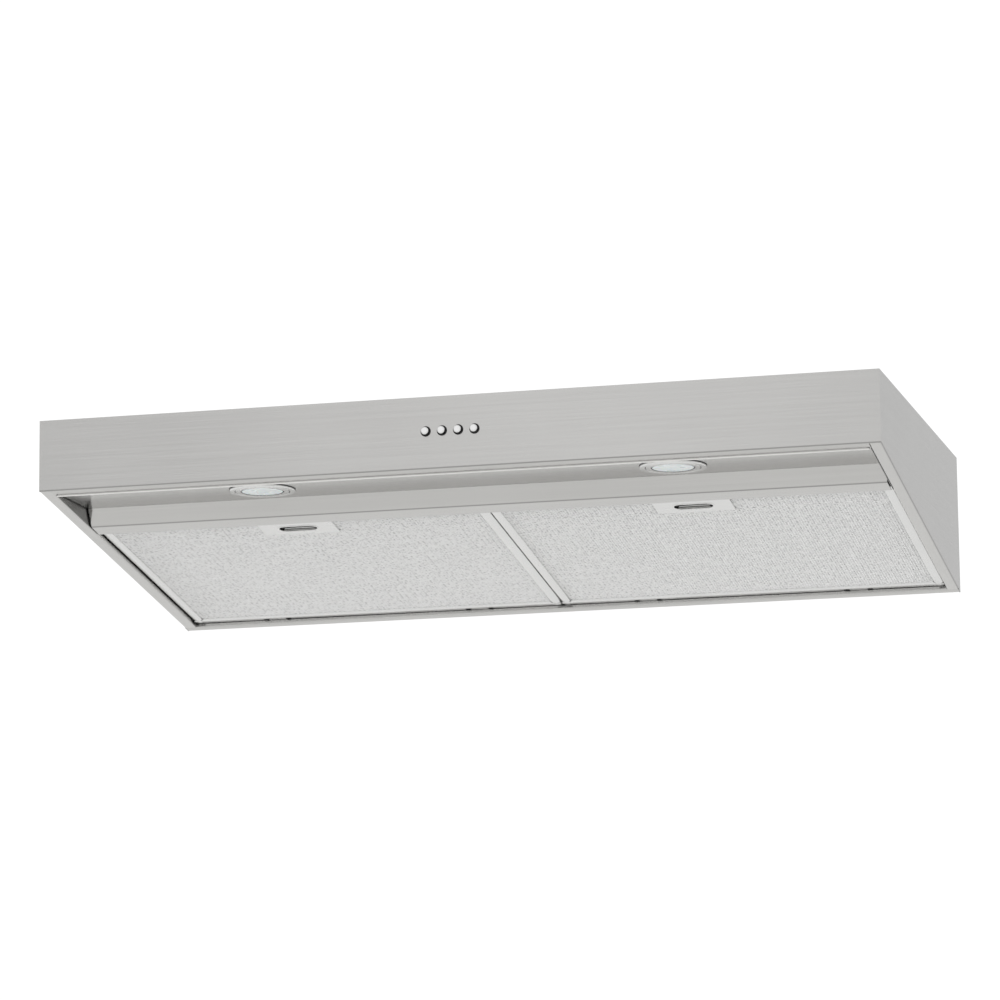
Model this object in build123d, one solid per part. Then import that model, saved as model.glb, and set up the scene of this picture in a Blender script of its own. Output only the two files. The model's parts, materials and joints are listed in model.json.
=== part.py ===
from build123d import *

import os
from math import acos, atan, cos, degrees, radians, sin

# An under cabinet range hood, in millimetres. +X is to the right of a person facing it, +Y goes back
# to the wall and +Z is up. The origin is the centre of the top face, which goes up against the cabinet.
# "Depth" is counted back from the front face, and "slope" distances run down the sloped underside.

# ---- Driving dimensions: canopy -------------------------------------------------------------------
WIDTH = 900.0
DEPTH = 500.0
FRONT_HEIGHT = 76.0
BACK_HEIGHT = 152.0
SHEET = 1.0                   # stainless sheet
BEND = 1.6                    # outer bend radius of the sheet
RIM = 13.0                    # width of the flange round the underside
REAR_RIM = 11.0
RETURN = 5.0                  # upturned edge inside the flange
PIVOT_LIFT = 4.5              # centre of the rear return's rounded edge
LIP = 14.5                    # front flange, up to its rolled bead
BEAD_R = 1.6
CORNER_START = 2.0            # depth at which the side flanges start, behind the front bend
CORNER_GAP = 0.8              # slit between the side flanges and the rear one
SEAM = 0.05                   # closed joint between two sheets
RELIEF_R = 1.0                # hole where the bead, the lip and the side flange meet
PAN_FLANGE = 13.0             # downturned edge of the top panel

# ---- Driving dimensions: light panel --------------------------------------------------------------
PANEL_HALF = 434.6
PANEL_FRONT = 9.0
PANEL_Z = -76.2
STEP_DEPTH = 111.0            # where the light panel turns down
LEDGE_FRONT = 122.5
LEDGE_REAR = 147.0
CHEEK_X = 436.1
LAMP_X = 222.0
LAMP_DEPTH = 60.0
LAMP_HOLE_R = 31.0
BEZEL_R = 35.0
BEZEL_DROP = 2.4              # how far it stands below the panel

# ---- Driving dimensions: controls -----------------------------------------------------------------
BUTTON_NAMES = ["light_button", "low_button", "medium_button", "high_button"]
BUTTON_PITCH = 17.4
BUTTON_Z = -36.6
BUTTON_R = 4.0
BUTTON_PROUD = 5.5
BUTTON_HOLE_R = 5.5
BUTTON_TAIL = 14.0            # depth of the button's inner end
SWITCH_HALF = 39.0
SWITCH_FRONT = 2.2
SWITCH_REAR = 30.0
SWITCH_BORE_END = 25.0
SWITCH_HEIGHT = 20.0
SLIDE_GAP = 0.06              # running clearance all round

# ---- Driving dimensions: filters ------------------------------------------------------------------
FILTER_GAP = 0.8              # half of the gap between the two filters
FILTER_SIDE = 435.4
FILTER_FRONT = 147.8          # depths of the front and rear rails
FILTER_REAR = 484.0
FILTER_LIFT = 4.5             # its underside above the rim
FILTER_THICK = 9.0
RAIL = 10.5
RAIL_WALL = 0.8
MESH_LAYERS = 3
MESH_LAYER = 0.6              # thickness of one layer, pressed flat
MESH_LIFT = 1.8               # the lowest layer above the frame's face
PLATE_WIDTH = 84.0
PLATE_REAR = 194.0
SLOT_LENGTH = 42.0
SLOT_WIDTH = 15.0
SLOT_DEPTH = 176.0
LATCH_WIDTH = 60.0
LATCH_LIFT = 7.0              # its underside above the rim
LATCH_SHEET = 1.4
TAB_OFFSET = 120.0
TAB_WIDTH = 20.0

# ---- Driving dimensions: blower -------------------------------------------------------------------
SHAFT_DEPTH = 375.0
SHAFT_Z = -58.0
SHAFT_R = 4.0
SCROLL_START_R = 45.0         # at the tongue
SCROLL_END_R = 55.0           # where the wall turns straight up
TONGUE_Y = -25.0              # from the shaft's axis
SCROLL_INNER_X = 45.0         # inside of a scroll, nearer the motor
SCROLL_WIDTH = 80.0
WHEEL_R = 42.0
WHEEL_HUB_R = 8.0
WHEEL_WIDTH = 68.0
WHEEL_BLADES = 28
INLET_R = 33.0
MOTOR_R = 38.0
MOTOR_HALF = 40.0
BEARING_R = 9.0
COLLAR_WIDTH = 252.0
COLLAR_HEIGHT = 45.0
COLLAR_GAP = 0.5              # round it, in the top panel
COLLAR_BASE = (302.0, 449.0)  # depths of its base plate, which the blower hangs from
STRAP_REACH = 65.0            # from the shaft to the strap's screws
STRAP_SHEET = 1.5
FLAP_Z = 8.0
PIN_R = 1.5

# ---- Driving dimensions: electrics and mountings --------------------------------------------------
BOX_X = 275.0                 # centre of the junction box
BOX_DEPTH = 440.0
BOX_SIZE = (90.0, 80.0, 42.0)
BUSHING_R = 11.0              # hole for the supply cable's bushing
BUSHING_RIM_R = 14.0
BUSHING_BORE_R = 8.0
LEAD_R = 2.5
CABINET_SLOT = (390.0, 190.0)
WALL_SLOT_X = 390.0
WALL_SLOT_Z = -30.0
MOUNT_SLOT_R = 3.0
MOUNT_SLOT_LENGTH = 14.0
SCREW_R = 2.0
SCREW_HEAD_R = 3.8

SLOPE = (BACK_HEIGHT - FRONT_HEIGHT) / DEPTH
TILT = atan(SLOPE)
SCROLL_OUTER_X = SCROLL_INNER_X + SCROLL_WIDTH
OUTLET_MID = SHAFT_DEPTH + (TONGUE_Y + SCROLL_END_R) / 2
OUTLET_DEPTH = SCROLL_END_R - TONGUE_Y
RIM_INNER = WIDTH / 2 - RIM
SLOPE_FRAME = Plane(
    origin=(0, -DEPTH / 2, -FRONT_HEIGHT), x_dir=(1, 0, 0), z_dir=(0, sin(TILT), cos(TILT))
)


# ---- Placing helpers ------------------------------------------------------------------------------
def under(depth):
    """Height of the sloped underside at a depth."""
    return -FRONT_HEIGHT - SLOPE * depth


def along(depth):
    """Distance down the slope that reaches a depth."""
    return depth / cos(TILT)


def above_slope(depth, up):
    """(depth, height) of a point set square off the sloped underside."""
    return (depth + up * sin(TILT), under(depth) + up * cos(TILT))


def block(x, depth, z):
    """A box from (low, high) pairs in x, depth and height."""
    size = (x[1] - x[0], depth[1] - depth[0], z[1] - z[0])
    mid = ((x[0] + x[1]) / 2, (depth[0] + depth[1] - DEPTH) / 2, (z[0] + z[1]) / 2)
    return Pos(*mid) * Box(*size)


def slope_block(x, run, up):
    """A box from (low, high) pairs in x, distance down the slope, and height square to it."""
    size = (x[1] - x[0], run[1] - run[0], up[1] - up[0])
    mid = ((x[0] + x[1]) / 2, (run[0] + run[1]) / 2, (up[0] + up[1]) / 2)
    return SLOPE_FRAME.location * (Pos(*mid) * Box(*size))


def rod(radius, x, depth, z):
    """A cylinder along X between the (low, high) pair x."""
    place = Pos((x[0] + x[1]) / 2, depth - DEPTH / 2, z) * Rot(0, 90, 0)
    return place * Cylinder(radius, x[1] - x[0])


def bar(radius, x, depth, z):
    """A cylinder along Y between the (low, high) pair depth."""
    place = Pos(x, (depth[0] + depth[1] - DEPTH) / 2, z) * Rot(90, 0, 0)
    return place * Cylinder(radius, depth[1] - depth[0])


def post(radius, x, depth, z):
    """A cylinder along Z between the (low, high) pair z."""
    return Pos(x, depth - DEPTH / 2, (z[0] + z[1]) / 2) * Cylinder(radius, z[1] - z[0])


def folded(points, half_width, side, radius=BEND, thickness=SHEET):
    """A folded strip: one face's outline as (depth, height) points, thickened and drawn out along X."""
    flat = [(depth - DEPTH / 2, z) for depth, z in points]
    outline = FilletPolyline(*flat, radius=radius)
    profile = make_face(offset(outline, amount=thickness, side=side))
    return extrude(Plane.YZ * profile, amount=half_width, both=True)


def flat_plate(points, x):
    """A flat plate in the YZ plane from (depth, height) points, between the (low, high) pair x."""
    outline = Polyline(*[(depth - DEPTH / 2, z) for depth, z in points], close=True)
    return extrude(Plane.YZ.offset(x[0]) * make_face(outline), amount=x[1] - x[0])


def slot_along_x(x, y, radius, length):
    """A round-ended slot in the XY plane."""
    return Pos(x, y) * SlotOverall(length, 2 * radius)


def spring(place, length, radius, wire, turns):
    """A helical spring standing on a place, along its own Z."""
    path = Helix(pitch=(length - 2 * wire) / turns, height=length - 2 * wire, radius=radius)
    coil = sweep(Plane(path @ 0, z_dir=path % 0) * Circle(wire), path=path)
    return place * (Pos(0, 0, wire) * coil)


def lead(points, radii):
    """A round lead through (x, depth, height) points, with a bend radius at each corner."""
    path = FilletPolyline(*[(x, depth - DEPTH / 2, z) for x, depth, z in points], radius=radii)
    return sweep(Plane(path @ 0, z_dir=path % 0) * Circle(LEAD_R), path=path)


def mirrored(solid):
    """The same piece for the other side of the hood."""
    return mirror(solid, about=Plane.YZ)


# ---- Canopy ---------------------------------------------------------------------------------------
def front_panel():
    """The front face, folded back along the underside to a rolled bead."""
    panel = folded([(0, 0), (0, -FRONT_HEIGHT), (LIP, under(LIP))], WIDTH / 2, Side.LEFT)
    bead_depth, bead_z = above_slope(LIP + 0.75 * BEAD_R, BEAD_R / 4)
    bead_end = RIM_INNER - BEAD_R
    panel += rod(BEAD_R, (-bead_end, bead_end), bead_depth, bead_z)
    rise = (under(LIP * 2), -FRONT_HEIGHT + LIP)
    for side in (-1, 1):
        edge = sorted((side * (WIDTH / 2 - SHEET), side * (WIDTH / 2 + SHEET)))
        panel -= block(edge, (SHEET, LIP * 2), rise)
        flange = sorted((side * (RIM_INNER - SEAM), side * (WIDTH / 2 + SHEET)))
        panel -= block(flange, (CORNER_START, LIP * 2), rise)
        panel -= post(RELIEF_R, side * (bead_end - RELIEF_R / 2), LIP - RELIEF_R, rise)
    for x in button_places():
        panel -= bar(BUTTON_HOLE_R, x, (-SHEET, 2 * SHEET), BUTTON_Z)
    return panel


def right_side_panel():
    """The side sheet with the flange and upturned return along its sloped edge."""
    start = CORNER_START + SEAM
    end = DEPTH - REAR_RIM - CORNER_GAP
    leg = 3 * RETURN
    sheet = flat_plate(
        [
            (SHEET, 0),
            (DEPTH, 0),
            (DEPTH, under(DEPTH)),
            above_slope(end, 0),
            above_slope(end, leg),
            above_slope(start, leg),
            above_slope(start, 0),
            (SHEET, under(SHEET)),
        ],
        (WIDTH / 2 - SHEET, WIDTH / 2),
    )
    across = Plane(
        origin=(0, end - DEPTH / 2, under(end)), x_dir=(1, 0, 0), z_dir=(0, -cos(TILT), sin(TILT))
    )
    outline = FilletPolyline(
        (WIDTH / 2, 1.5 * leg), (WIDTH / 2, 0), (RIM_INNER, 0), (RIM_INNER, RETURN), radius=BEND
    )
    profile = make_face(offset(outline, amount=SHEET, side=Side.RIGHT))
    flange = extrude(across * profile, amount=along(end - start))
    return sheet + flange


def back_panel():
    """The rear sheet, folded forward along the underside, with the duct and wall screw openings."""
    inner = DEPTH - REAR_RIM
    half = WIDTH / 2 - SHEET
    top = above_slope(inner, PIVOT_LIFT)
    panel = folded([(DEPTH, 0), (DEPTH, -BACK_HEIGHT), (inner, under(inner)), top], half, Side.RIGHT)
    panel += rod(SHEET / 2, (-half, half), *pivot_place())
    panel -= block(rear_duct_span(), (DEPTH - 5 * SHEET, DEPTH + SHEET), rear_duct_rise())
    wall = Plane.XZ.offset(-DEPTH / 2 - SHEET)
    for side in (-1, 1):
        slot = slot_along_x(side * WALL_SLOT_X, WALL_SLOT_Z, MOUNT_SLOT_R, MOUNT_SLOT_LENGTH)
        panel -= extrude(wall * slot, amount=5 * SHEET)
    for x, z in cover_screw_places():
        panel -= bar(SCREW_R, x, (DEPTH - 5 * SHEET, DEPTH + SHEET), z)
    return panel


def pivot_place():
    """Depth and height of the rounded edge that the filters hang on and turn about."""
    return above_slope(DEPTH - REAR_RIM + SHEET / 2 * cos(TILT), PIVOT_LIFT)


def rear_duct_span():
    return (-127.0, 127.0)


def rear_duct_rise():
    return (-104.0, -21.0)


def cover_screw_places():
    margin = 8.0
    left, right = rear_duct_span()
    low, high = rear_duct_rise()
    return [(x, z) for x in (left - margin, right + margin) for z in (low + margin, high - margin)]


def rear_duct_cover():
    """The plate that closes the rear duct opening while the hood blows upwards."""
    margin = 15.0
    left, right = rear_duct_span()
    low, high = rear_duct_rise()
    rise = (low - margin, high + margin / 2)
    plate = block((left - margin, right + margin), (DEPTH - 2 * SHEET, DEPTH - SHEET), rise)
    for x, z in cover_screw_places():
        plate -= bar(SCREW_R, x, (DEPTH - 5 * SHEET, DEPTH), z)
    return plate


def top_panel():
    """The top face: a pan with a downturned edge, an opening for the duct collar and mounting slots."""
    half = WIDTH / 2 - SHEET
    front, rear = SHEET, DEPTH - SHEET
    pan = folded(
        [(front, -PAN_FLANGE), (front, 0), (rear, 0), (rear, -PAN_FLANGE)], half, Side.RIGHT
    )
    for side in (-1, 1):
        edge = sorted((side * (half - SHEET), side * half))
        pan += block(edge, (front + 2 * BEND, rear - 2 * BEND), (-PAN_FLANGE, 0))
        for y in (-CABINET_SLOT[1], CABINET_SLOT[1]):
            slot = slot_along_x(side * CABINET_SLOT[0], y, MOUNT_SLOT_R, MOUNT_SLOT_LENGTH)
            pan -= extrude(Plane.XY.offset(-2 * SHEET) * slot, amount=4 * SHEET)
    low, high = collar_run()
    reach = COLLAR_WIDTH / 2 + COLLAR_GAP
    pan -= block((-reach, reach), (low - COLLAR_GAP, high + COLLAR_GAP), (-2 * SHEET, SHEET))
    pan -= post(BUSHING_RIM_R + COLLAR_GAP, BOX_X, BOX_DEPTH, (-2 * SHEET, SHEET))
    for x, depth in blower_screw_places() + strap_screw_places():
        pan -= post(SCREW_R, x, depth, (-2 * SHEET, SHEET))
    return pan


def outlet_span(side):
    return sorted((side * SCROLL_INNER_X, side * SCROLL_OUTER_X))


def outlet_run():
    return (OUTLET_MID - OUTLET_DEPTH / 2, OUTLET_MID + OUTLET_DEPTH / 2)


# ---- Light panel ----------------------------------------------------------------------------------
def light_panel():
    """The recessed panel for the lamps, folded down and back to the ledge in front of the filters."""
    panel = folded(
        [
            (PANEL_FRONT, PANEL_Z + PAN_FLANGE),
            (PANEL_FRONT, PANEL_Z),
            (STEP_DEPTH, PANEL_Z),
            (LEDGE_FRONT, under(LEDGE_FRONT)),
            (LEDGE_REAR, under(LEDGE_REAR)),
        ],
        PANEL_HALF,
        Side.LEFT,
    )
    for x in (-LAMP_X, LAMP_X):
        panel -= post(LAMP_HOLE_R, x, LAMP_DEPTH, (PANEL_Z - SHEET, PANEL_Z + 2 * SHEET))
    return panel


def right_end_cheek():
    """The plate that closes the end of the light panel's step, with a foot welded to the side sheet."""
    top = PANEL_Z + PAN_FLANGE
    start = LIP + 4 * BEAD_R
    lift = 0.4
    plate = flat_plate(
        [
            (start, top),
            (LEDGE_REAR, top),
            (LEDGE_REAR, under(LEDGE_REAR) + lift),
            (start, under(start) + lift),
        ],
        (CHEEK_X, CHEEK_X + RAIL_WALL),
    )
    foot = block((CHEEK_X, WIDTH / 2 - SHEET), (start, LEDGE_REAR), (top - SHEET, top))
    return plate + foot


# ---- Lamps ----------------------------------------------------------------------------------------
def turned(points, x):
    """A piece turned about a lamp's axis, from (radius, height above the light panel) points."""
    outline = Polyline(*points, close=True)
    piece = revolve(Plane.XZ * make_face(outline), axis=Axis.Z)
    return Pos(x, LAMP_DEPTH - DEPTH / 2, PANEL_Z) * piece


def lamp_bezel(x):
    """The grooved ring seen below the panel, with a sleeve up through the hole."""
    return turned(
        [
            (BEZEL_R, 0),
            (BEZEL_R, 0.7 - BEZEL_DROP),
            (BEZEL_R - 0.7, -BEZEL_DROP),
            (29.4, -BEZEL_DROP),
            (28.8, 0.6 - BEZEL_DROP),
            (28.2, -BEZEL_DROP),
            (23.0, -BEZEL_DROP),
            (22.6, 0.4 - BEZEL_DROP),
            (22.6, 1.5),
            (27.5, 1.5),
            (27.5, 14.0),
            (29.5, 14.0),
            (29.5, 0),
        ],
        x,
    )


def lamp_lens(x):
    """The frosted glass, which stands through the bezel and rests on its inner ledge."""
    face = 0.3 - BEZEL_DROP
    skirt = [(21.6, face), (22.3, face + 0.7), (22.3, 1.5), (27.2, 1.5), (27.2, 3.5)]
    return turned([(0, face)] + skirt + [(19.5, 3.5), (18.5, 0.6), (0, 0.6)], x)


def lamp_body(x):
    """The finned cup over the lens that holds the lamp."""
    rim = [(26.0, 14.2), (29.5, 14.2), (29.5, 16.0), (27.8, 16.0)]
    cup = turned(rim + [(27.8, 30.0), (0, 30.0), (0, 26.0), (26.0, 26.0)], x)
    for groove in range(3):
        z = PANEL_Z + 18.5 + 3.6 * groove
        ring = post(28.5, x, LAMP_DEPTH, (z, z + 1.2)) - post(27.0, x, LAMP_DEPTH, (z, z + 1.2))
        cup -= ring
    return cup


def lamp_clips():
    """Two spring clips on each lamp, pressing on the top of the light panel."""
    clips = []
    for x in (-LAMP_X, LAMP_X):
        for side in (-1, 1):
            points = [(29.6, 12.0), (29.6, 3.0), (38.5, 1.6), (41.5, 3.4)]
            outline = FilletPolyline(*[(side * px, pz) for px, pz in points], radius=1.0)
            strip = make_face(offset(outline, amount=0.5, side=Side.LEFT if side > 0 else Side.RIGHT))
            clip = extrude(Plane.XZ * strip, amount=4.0, both=True)
            clips.append(Pos(x, LAMP_DEPTH - DEPTH / 2, PANEL_Z) * clip)
    return Compound(clips)


# ---- Controls -------------------------------------------------------------------------------------
def button_places():
    middle = (len(BUTTON_NAMES) - 1) / 2
    return [BUTTON_PITCH * (place - middle) for place in range(len(BUTTON_NAMES))]


def switch_body():
    """The switch block behind the front panel, bored for the four buttons."""
    half = SWITCH_HEIGHT / 2
    body = block(
        (-SWITCH_HALF, SWITCH_HALF), (SWITCH_FRONT, SWITCH_REAR), (BUTTON_Z - half, BUTTON_Z + half)
    )
    for x in button_places():
        body -= bar(BUTTON_R + SLIDE_GAP, x, (SHEET, SWITCH_BORE_END), BUTTON_Z)
    return body


def push_button(x):
    """A round push button with an eased, slightly domed cap."""
    cap = bar(BUTTON_R, x, (-BUTTON_PROUD, BUTTON_TAIL), BUTTON_Z)
    front_edge = cap.edges().group_by(Axis.Y)[0]
    return fillet(front_edge, 1.3)


def button_spring(x):
    """The spring that pushes a button back out."""
    seat = Pos(x, BUTTON_TAIL - DEPTH / 2, BUTTON_Z) * Rot(-90, 0, 0)
    return spring(seat, SWITCH_BORE_END - BUTTON_TAIL, 2.6, 0.35, 6)


def switch_bracket():
    """The strap that holds the switch block against the front panel."""
    half = SWITCH_HEIGHT / 2 + 0.2
    rear = SWITCH_REAR + 0.2
    foot = 11.0
    return folded(
        [
            (SHEET, BUTTON_Z + half + foot),
            (SHEET, BUTTON_Z + half),
            (rear, BUTTON_Z + half),
            (rear, BUTTON_Z - half),
            (SHEET, BUTTON_Z - half),
            (SHEET, BUTTON_Z - half - foot),
        ],
        SWITCH_HALF - 9.0,
        Side.LEFT,
        radius=0.2,
    )


# ---- Grease filters -------------------------------------------------------------------------------
def filter_middle():
    return (FILTER_GAP + FILTER_SIDE) / 2


def plate_span():
    middle = filter_middle()
    return (middle - PLATE_WIDTH / 2, middle + PLATE_WIDTH / 2)


def right_filter_frame():
    """The channel frame round a filter, with two rear tabs that hang on the rear return."""
    front, rear = along(FILTER_FRONT), along(FILTER_REAR)
    low, high = FILTER_LIFT, FILTER_LIFT + FILTER_THICK
    body = slope_block((FILTER_GAP, FILTER_SIDE), (front, rear), (low, high))
    body = fillet(body.edges(), 1.0)
    body -= slope_block(
        (FILTER_GAP + RAIL_WALL, FILTER_SIDE - RAIL_WALL),
        (front + RAIL_WALL, rear - RAIL_WALL),
        (low + RAIL_WALL, high - RAIL_WALL),
    )
    body -= slope_block(
        (FILTER_GAP + RAIL, FILTER_SIDE - RAIL), (front + RAIL, rear - RAIL), (low - 1, high + 1)
    )
    half = LATCH_WIDTH / 4
    middle = filter_middle()
    tongue_slot = (LATCH_LIFT - 0.3, LATCH_LIFT + LATCH_SHEET + 0.6)
    body -= slope_block((middle - half - 1, middle + half + 1), (front - 1, front + 2), tongue_slot)
    hook = along(DEPTH - REAR_RIM) + SHEET
    rest = RETURN + 0.3
    for side in (-1, 1):
        x = middle + side * TAB_OFFSET
        span = (x - TAB_WIDTH / 2, x + TAB_WIDTH / 2)
        body += slope_block(span, (rear - RAIL_WALL, hook + 1.8), (rest, rest + SHEET))
        body += slope_block(span, (hook + 1.0, hook + 1.8), (rest - 1.8, rest + SHEET))
    return body


def right_filter_mesh():
    """The layers of expanded aluminium mesh, cut away round the latch."""
    front, rear = along(FILTER_FRONT), along(FILTER_REAR)
    edge = RAIL_WALL + 0.1
    low, high = FILTER_LIFT + MESH_LIFT, FILTER_LIFT + FILTER_THICK - edge
    spacing = (high - low - MESH_LAYER) / (MESH_LAYERS - 1)
    left, right = plate_span()
    cutaway = slope_block((left, right), (front, along(PLATE_REAR)), (low - 1, high + 1))
    layers = []
    for place in range(MESH_LAYERS):
        bottom = low + place * spacing
        layer = slope_block(
            (FILTER_GAP + edge, FILTER_SIDE - edge),
            (front + edge, rear - edge),
            (bottom, bottom + MESH_LAYER),
        )
        layers += (layer - cutaway).solids()
    return Compound(layers)


def right_latch_plate():
    """The smooth tray round the latch, with the finger slot through its face."""
    front, rear = along(FILTER_FRONT) + RAIL, along(PLATE_REAR)
    low, high = FILTER_LIFT, FILTER_LIFT + FILTER_THICK - RAIL_WALL - 0.1
    left, right = plate_span()
    gap = 0.1
    tray = slope_block((left + gap, right - gap), (front, rear - gap), (low, high))
    wall = 0.6
    tray -= slope_block(
        (left + gap + wall, right - gap - wall), (front - 1, rear - gap - wall), (low + wall, high - wall)
    )
    slot = slot_along_x(filter_middle(), along(SLOT_DEPTH), SLOT_WIDTH / 2, SLOT_LENGTH)
    tray -= extrude(Plane(SLOPE_FRAME.location * Pos(0, 0, low - 1)) * slot, amount=2 + wall)
    return tray


def right_latch():
    """The sliding latch: a tongue through the front rail and a finger lip at the rear of the slot."""
    middle = filter_middle()
    front = along(FILTER_FRONT)
    low, high = LATCH_LIFT, LATCH_LIFT + LATCH_SHEET
    half = LATCH_WIDTH / 2
    slot_rear = along(SLOT_DEPTH) + SLOT_WIDTH / 2
    plate_run = (front + RAIL_WALL + 2.0, slot_rear + 3.0)
    latch = slope_block((middle - half, middle + half), plate_run, (low, high))
    tongue = (middle - half / 2, middle + half / 2)
    latch += slope_block(tongue, (front - 0.3, plate_run[0] + 1), (low, high))
    grip = (middle - SLOT_LENGTH / 2 + 4, middle + SLOT_LENGTH / 2 - 4)
    run = along(SLOT_DEPTH)
    lip = run + SLOT_WIDTH / 2 - 2.5
    latch -= slope_block(grip, (run - SLOT_WIDTH / 2 + 1, lip), (low - 1, high + 1))
    latch += slope_block(grip, (lip, lip + 1.2), (FILTER_LIFT + 0.8, high))
    return latch


def right_latch_spring():
    """The spring between the latch and the rear wall of its tray."""
    slot_rear = along(SLOT_DEPTH) + SLOT_WIDTH / 2 + 3.0
    wall = along(PLATE_REAR) - 0.7
    seat = SLOPE_FRAME.location * Pos(filter_middle(), slot_rear, LATCH_LIFT + LATCH_SHEET) * Rot(-90, 0, 0)
    return spring(seat, wall - slot_rear, 1.8, 0.3, 5)


# ---- Blower ---------------------------------------------------------------------------------------
def scroll_outline(grow):
    """The scroll's wall in the (Y, Z) plane about the shaft, moved out by grow."""
    tongue = degrees(acos(TONGUE_Y / SCROLL_START_R))
    steps = 8
    points = []
    for step in range(steps + 1):
        share = step / steps
        angle = radians(tongue + (360 - tongue) * share)
        radius = SCROLL_START_R + (SCROLL_END_R - SCROLL_START_R) * share + grow
        points.append((radius * cos(angle), radius * sin(angle)))
    top = -SHAFT_Z - 2 * SHEET
    points[-1] = (SCROLL_END_R + grow, 0)
    wall = Spline(*points, tangents=[(-0.83, -0.55), (0, 1)])
    rear = Line(points[-1], (SCROLL_END_R + grow, top))
    lid = Line((SCROLL_END_R + grow, top), (TONGUE_Y - grow, top))
    front = Line((TONGUE_Y - grow, top), points[0])
    return make_face(Curve() + [wall, rear, lid, front])


def shaft_frame(x):
    return Plane(origin=(x, SHAFT_DEPTH - DEPTH / 2, SHAFT_Z), x_dir=(0, 1, 0), z_dir=(1, 0, 0))


def right_scroll():
    """One snail-shaped blower housing, open at its outlet and its inlet, with screw flanges on top."""
    shell = extrude(
        shaft_frame(SCROLL_INNER_X - SHEET) * scroll_outline(SHEET), amount=SCROLL_WIDTH + 2 * SHEET
    )
    shell -= extrude(shaft_frame(SCROLL_INNER_X) * scroll_outline(0), amount=SCROLL_WIDTH)
    low, high = outlet_run()
    span = (SCROLL_INNER_X - SHEET, SCROLL_OUTER_X + SHEET)
    flange = 11.0
    for run in ((low - flange, low), (high, high + flange)):
        shell += block(span, run, (-3 * SHEET, -2 * SHEET))
    shell -= block((span[0] + SHEET, span[1] - SHEET), (low, high), (-4 * SHEET, 0))
    shell -= rod(INLET_R, (SCROLL_OUTER_X - SHEET, SCROLL_OUTER_X + 2 * SHEET), SHAFT_DEPTH, SHAFT_Z)
    hub_hole = (SCROLL_INNER_X - 2 * SHEET, SCROLL_INNER_X + SHEET)
    shell -= rod(WHEEL_HUB_R + 3, hub_hole, SHAFT_DEPTH, SHAFT_Z)
    for x, depth in blower_screw_places():
        shell -= post(SCREW_R, x, depth, (-4 * SHEET, 0))
    return shell


def right_inlet_ring():
    """The bell mouth that guides air into a wheel."""
    plane = Plane(origin=(0, SHAFT_DEPTH - DEPTH / 2, SHAFT_Z), x_dir=(1, 0, 0), z_dir=(0, -1, 0))
    x = SCROLL_OUTER_X + SHEET
    mouth = FilletPolyline((x - 6, INLET_R - 4), (x + 3, INLET_R - 2), (x + 5, INLET_R + 6), radius=4.0)
    lip = Line(mouth @ 1, (x, INLET_R + 6))
    back = Line((x, INLET_R + 6), (x, INLET_R - 1.2))
    inner = Line((x, INLET_R - 1.2), (x - 6, INLET_R - 3))
    end = Line((x - 6, INLET_R - 3), mouth @ 0)
    face = make_face(Curve() + [mouth, lip, back, inner, end])
    axis = Axis((0, SHAFT_DEPTH - DEPTH / 2, SHAFT_Z), (1, 0, 0))
    return revolve(plane * face, axis=axis)


def right_fan_wheel():
    """A forward-curved drum wheel: back plate, hub, blades and end ring."""
    start = SCROLL_INNER_X + 5.0
    end = start + WHEEL_WIDTH
    blade_inner = WHEEL_R - 8.5
    wheel = rod(WHEEL_R, (start, start + 1.2), SHAFT_DEPTH, SHAFT_Z)
    wheel += rod(WHEEL_HUB_R, (start, start + 16), SHAFT_DEPTH, SHAFT_Z)
    ring = rod(WHEEL_R, (end - 2, end), SHAFT_DEPTH, SHAFT_Z)
    wheel += ring - rod(WHEEL_R - 5.0, (end - 3, end + 1), SHAFT_DEPTH, SHAFT_Z)
    middle = (blade_inner + WHEEL_R) / 2 - 0.4
    blade = Sketch() + [
        Rot(0, 0, 360 * turn / WHEEL_BLADES) * Pos(middle, 0) * Rot(0, 0, 32) * Rectangle(8.6, 0.9)
        for turn in range(WHEEL_BLADES)
    ]
    wheel += extrude(shaft_frame(start + 0.6) * blade, amount=WHEEL_WIDTH - 1.2)
    return wheel - rod(SHAFT_R, (start - 1, end + 1), SHAFT_DEPTH, SHAFT_Z)


def motor_case():
    """The motor's can, with a bearing seat in each end."""
    wall = 1.6
    case = rod(MOTOR_R, (-MOTOR_HALF, MOTOR_HALF), SHAFT_DEPTH, SHAFT_Z)
    case = fillet(case.edges(), 3.0)
    case -= rod(MOTOR_R - wall, (wall - MOTOR_HALF, MOTOR_HALF - wall), SHAFT_DEPTH, SHAFT_Z)
    for side in (-1, 1):
        seat = sorted((side * (MOTOR_HALF - wall), side * (MOTOR_HALF - 9.0)))
        case += rod(BEARING_R + 2.0, seat, SHAFT_DEPTH, SHAFT_Z)
        case -= rod(BEARING_R, seat, SHAFT_DEPTH, SHAFT_Z)
    return case - rod(SHAFT_R + 1.0, (-MOTOR_HALF - 1, MOTOR_HALF + 1), SHAFT_DEPTH, SHAFT_Z)


def motor_stator():
    """The laminated ring and its windings."""
    core = rod(MOTOR_R - 1.7, (-20, 20), SHAFT_DEPTH, SHAFT_Z)
    winding = rod(31.0, (-26, 26), SHAFT_DEPTH, SHAFT_Z)
    return core + winding - rod(22.5, (-30, 30), SHAFT_DEPTH, SHAFT_Z)


def motor_rotor():
    """The iron core on the shaft."""
    core = rod(22.0, (-20, 20), SHAFT_DEPTH, SHAFT_Z)
    return core - rod(SHAFT_R, (-21, 21), SHAFT_DEPTH, SHAFT_Z)


def motor_shaft():
    end = SCROLL_INNER_X + 5.0 + 16.0
    shaft = rod(SHAFT_R, (-end, end), SHAFT_DEPTH, SHAFT_Z)
    return chamfer(shaft.edges(), 0.6)


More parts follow.
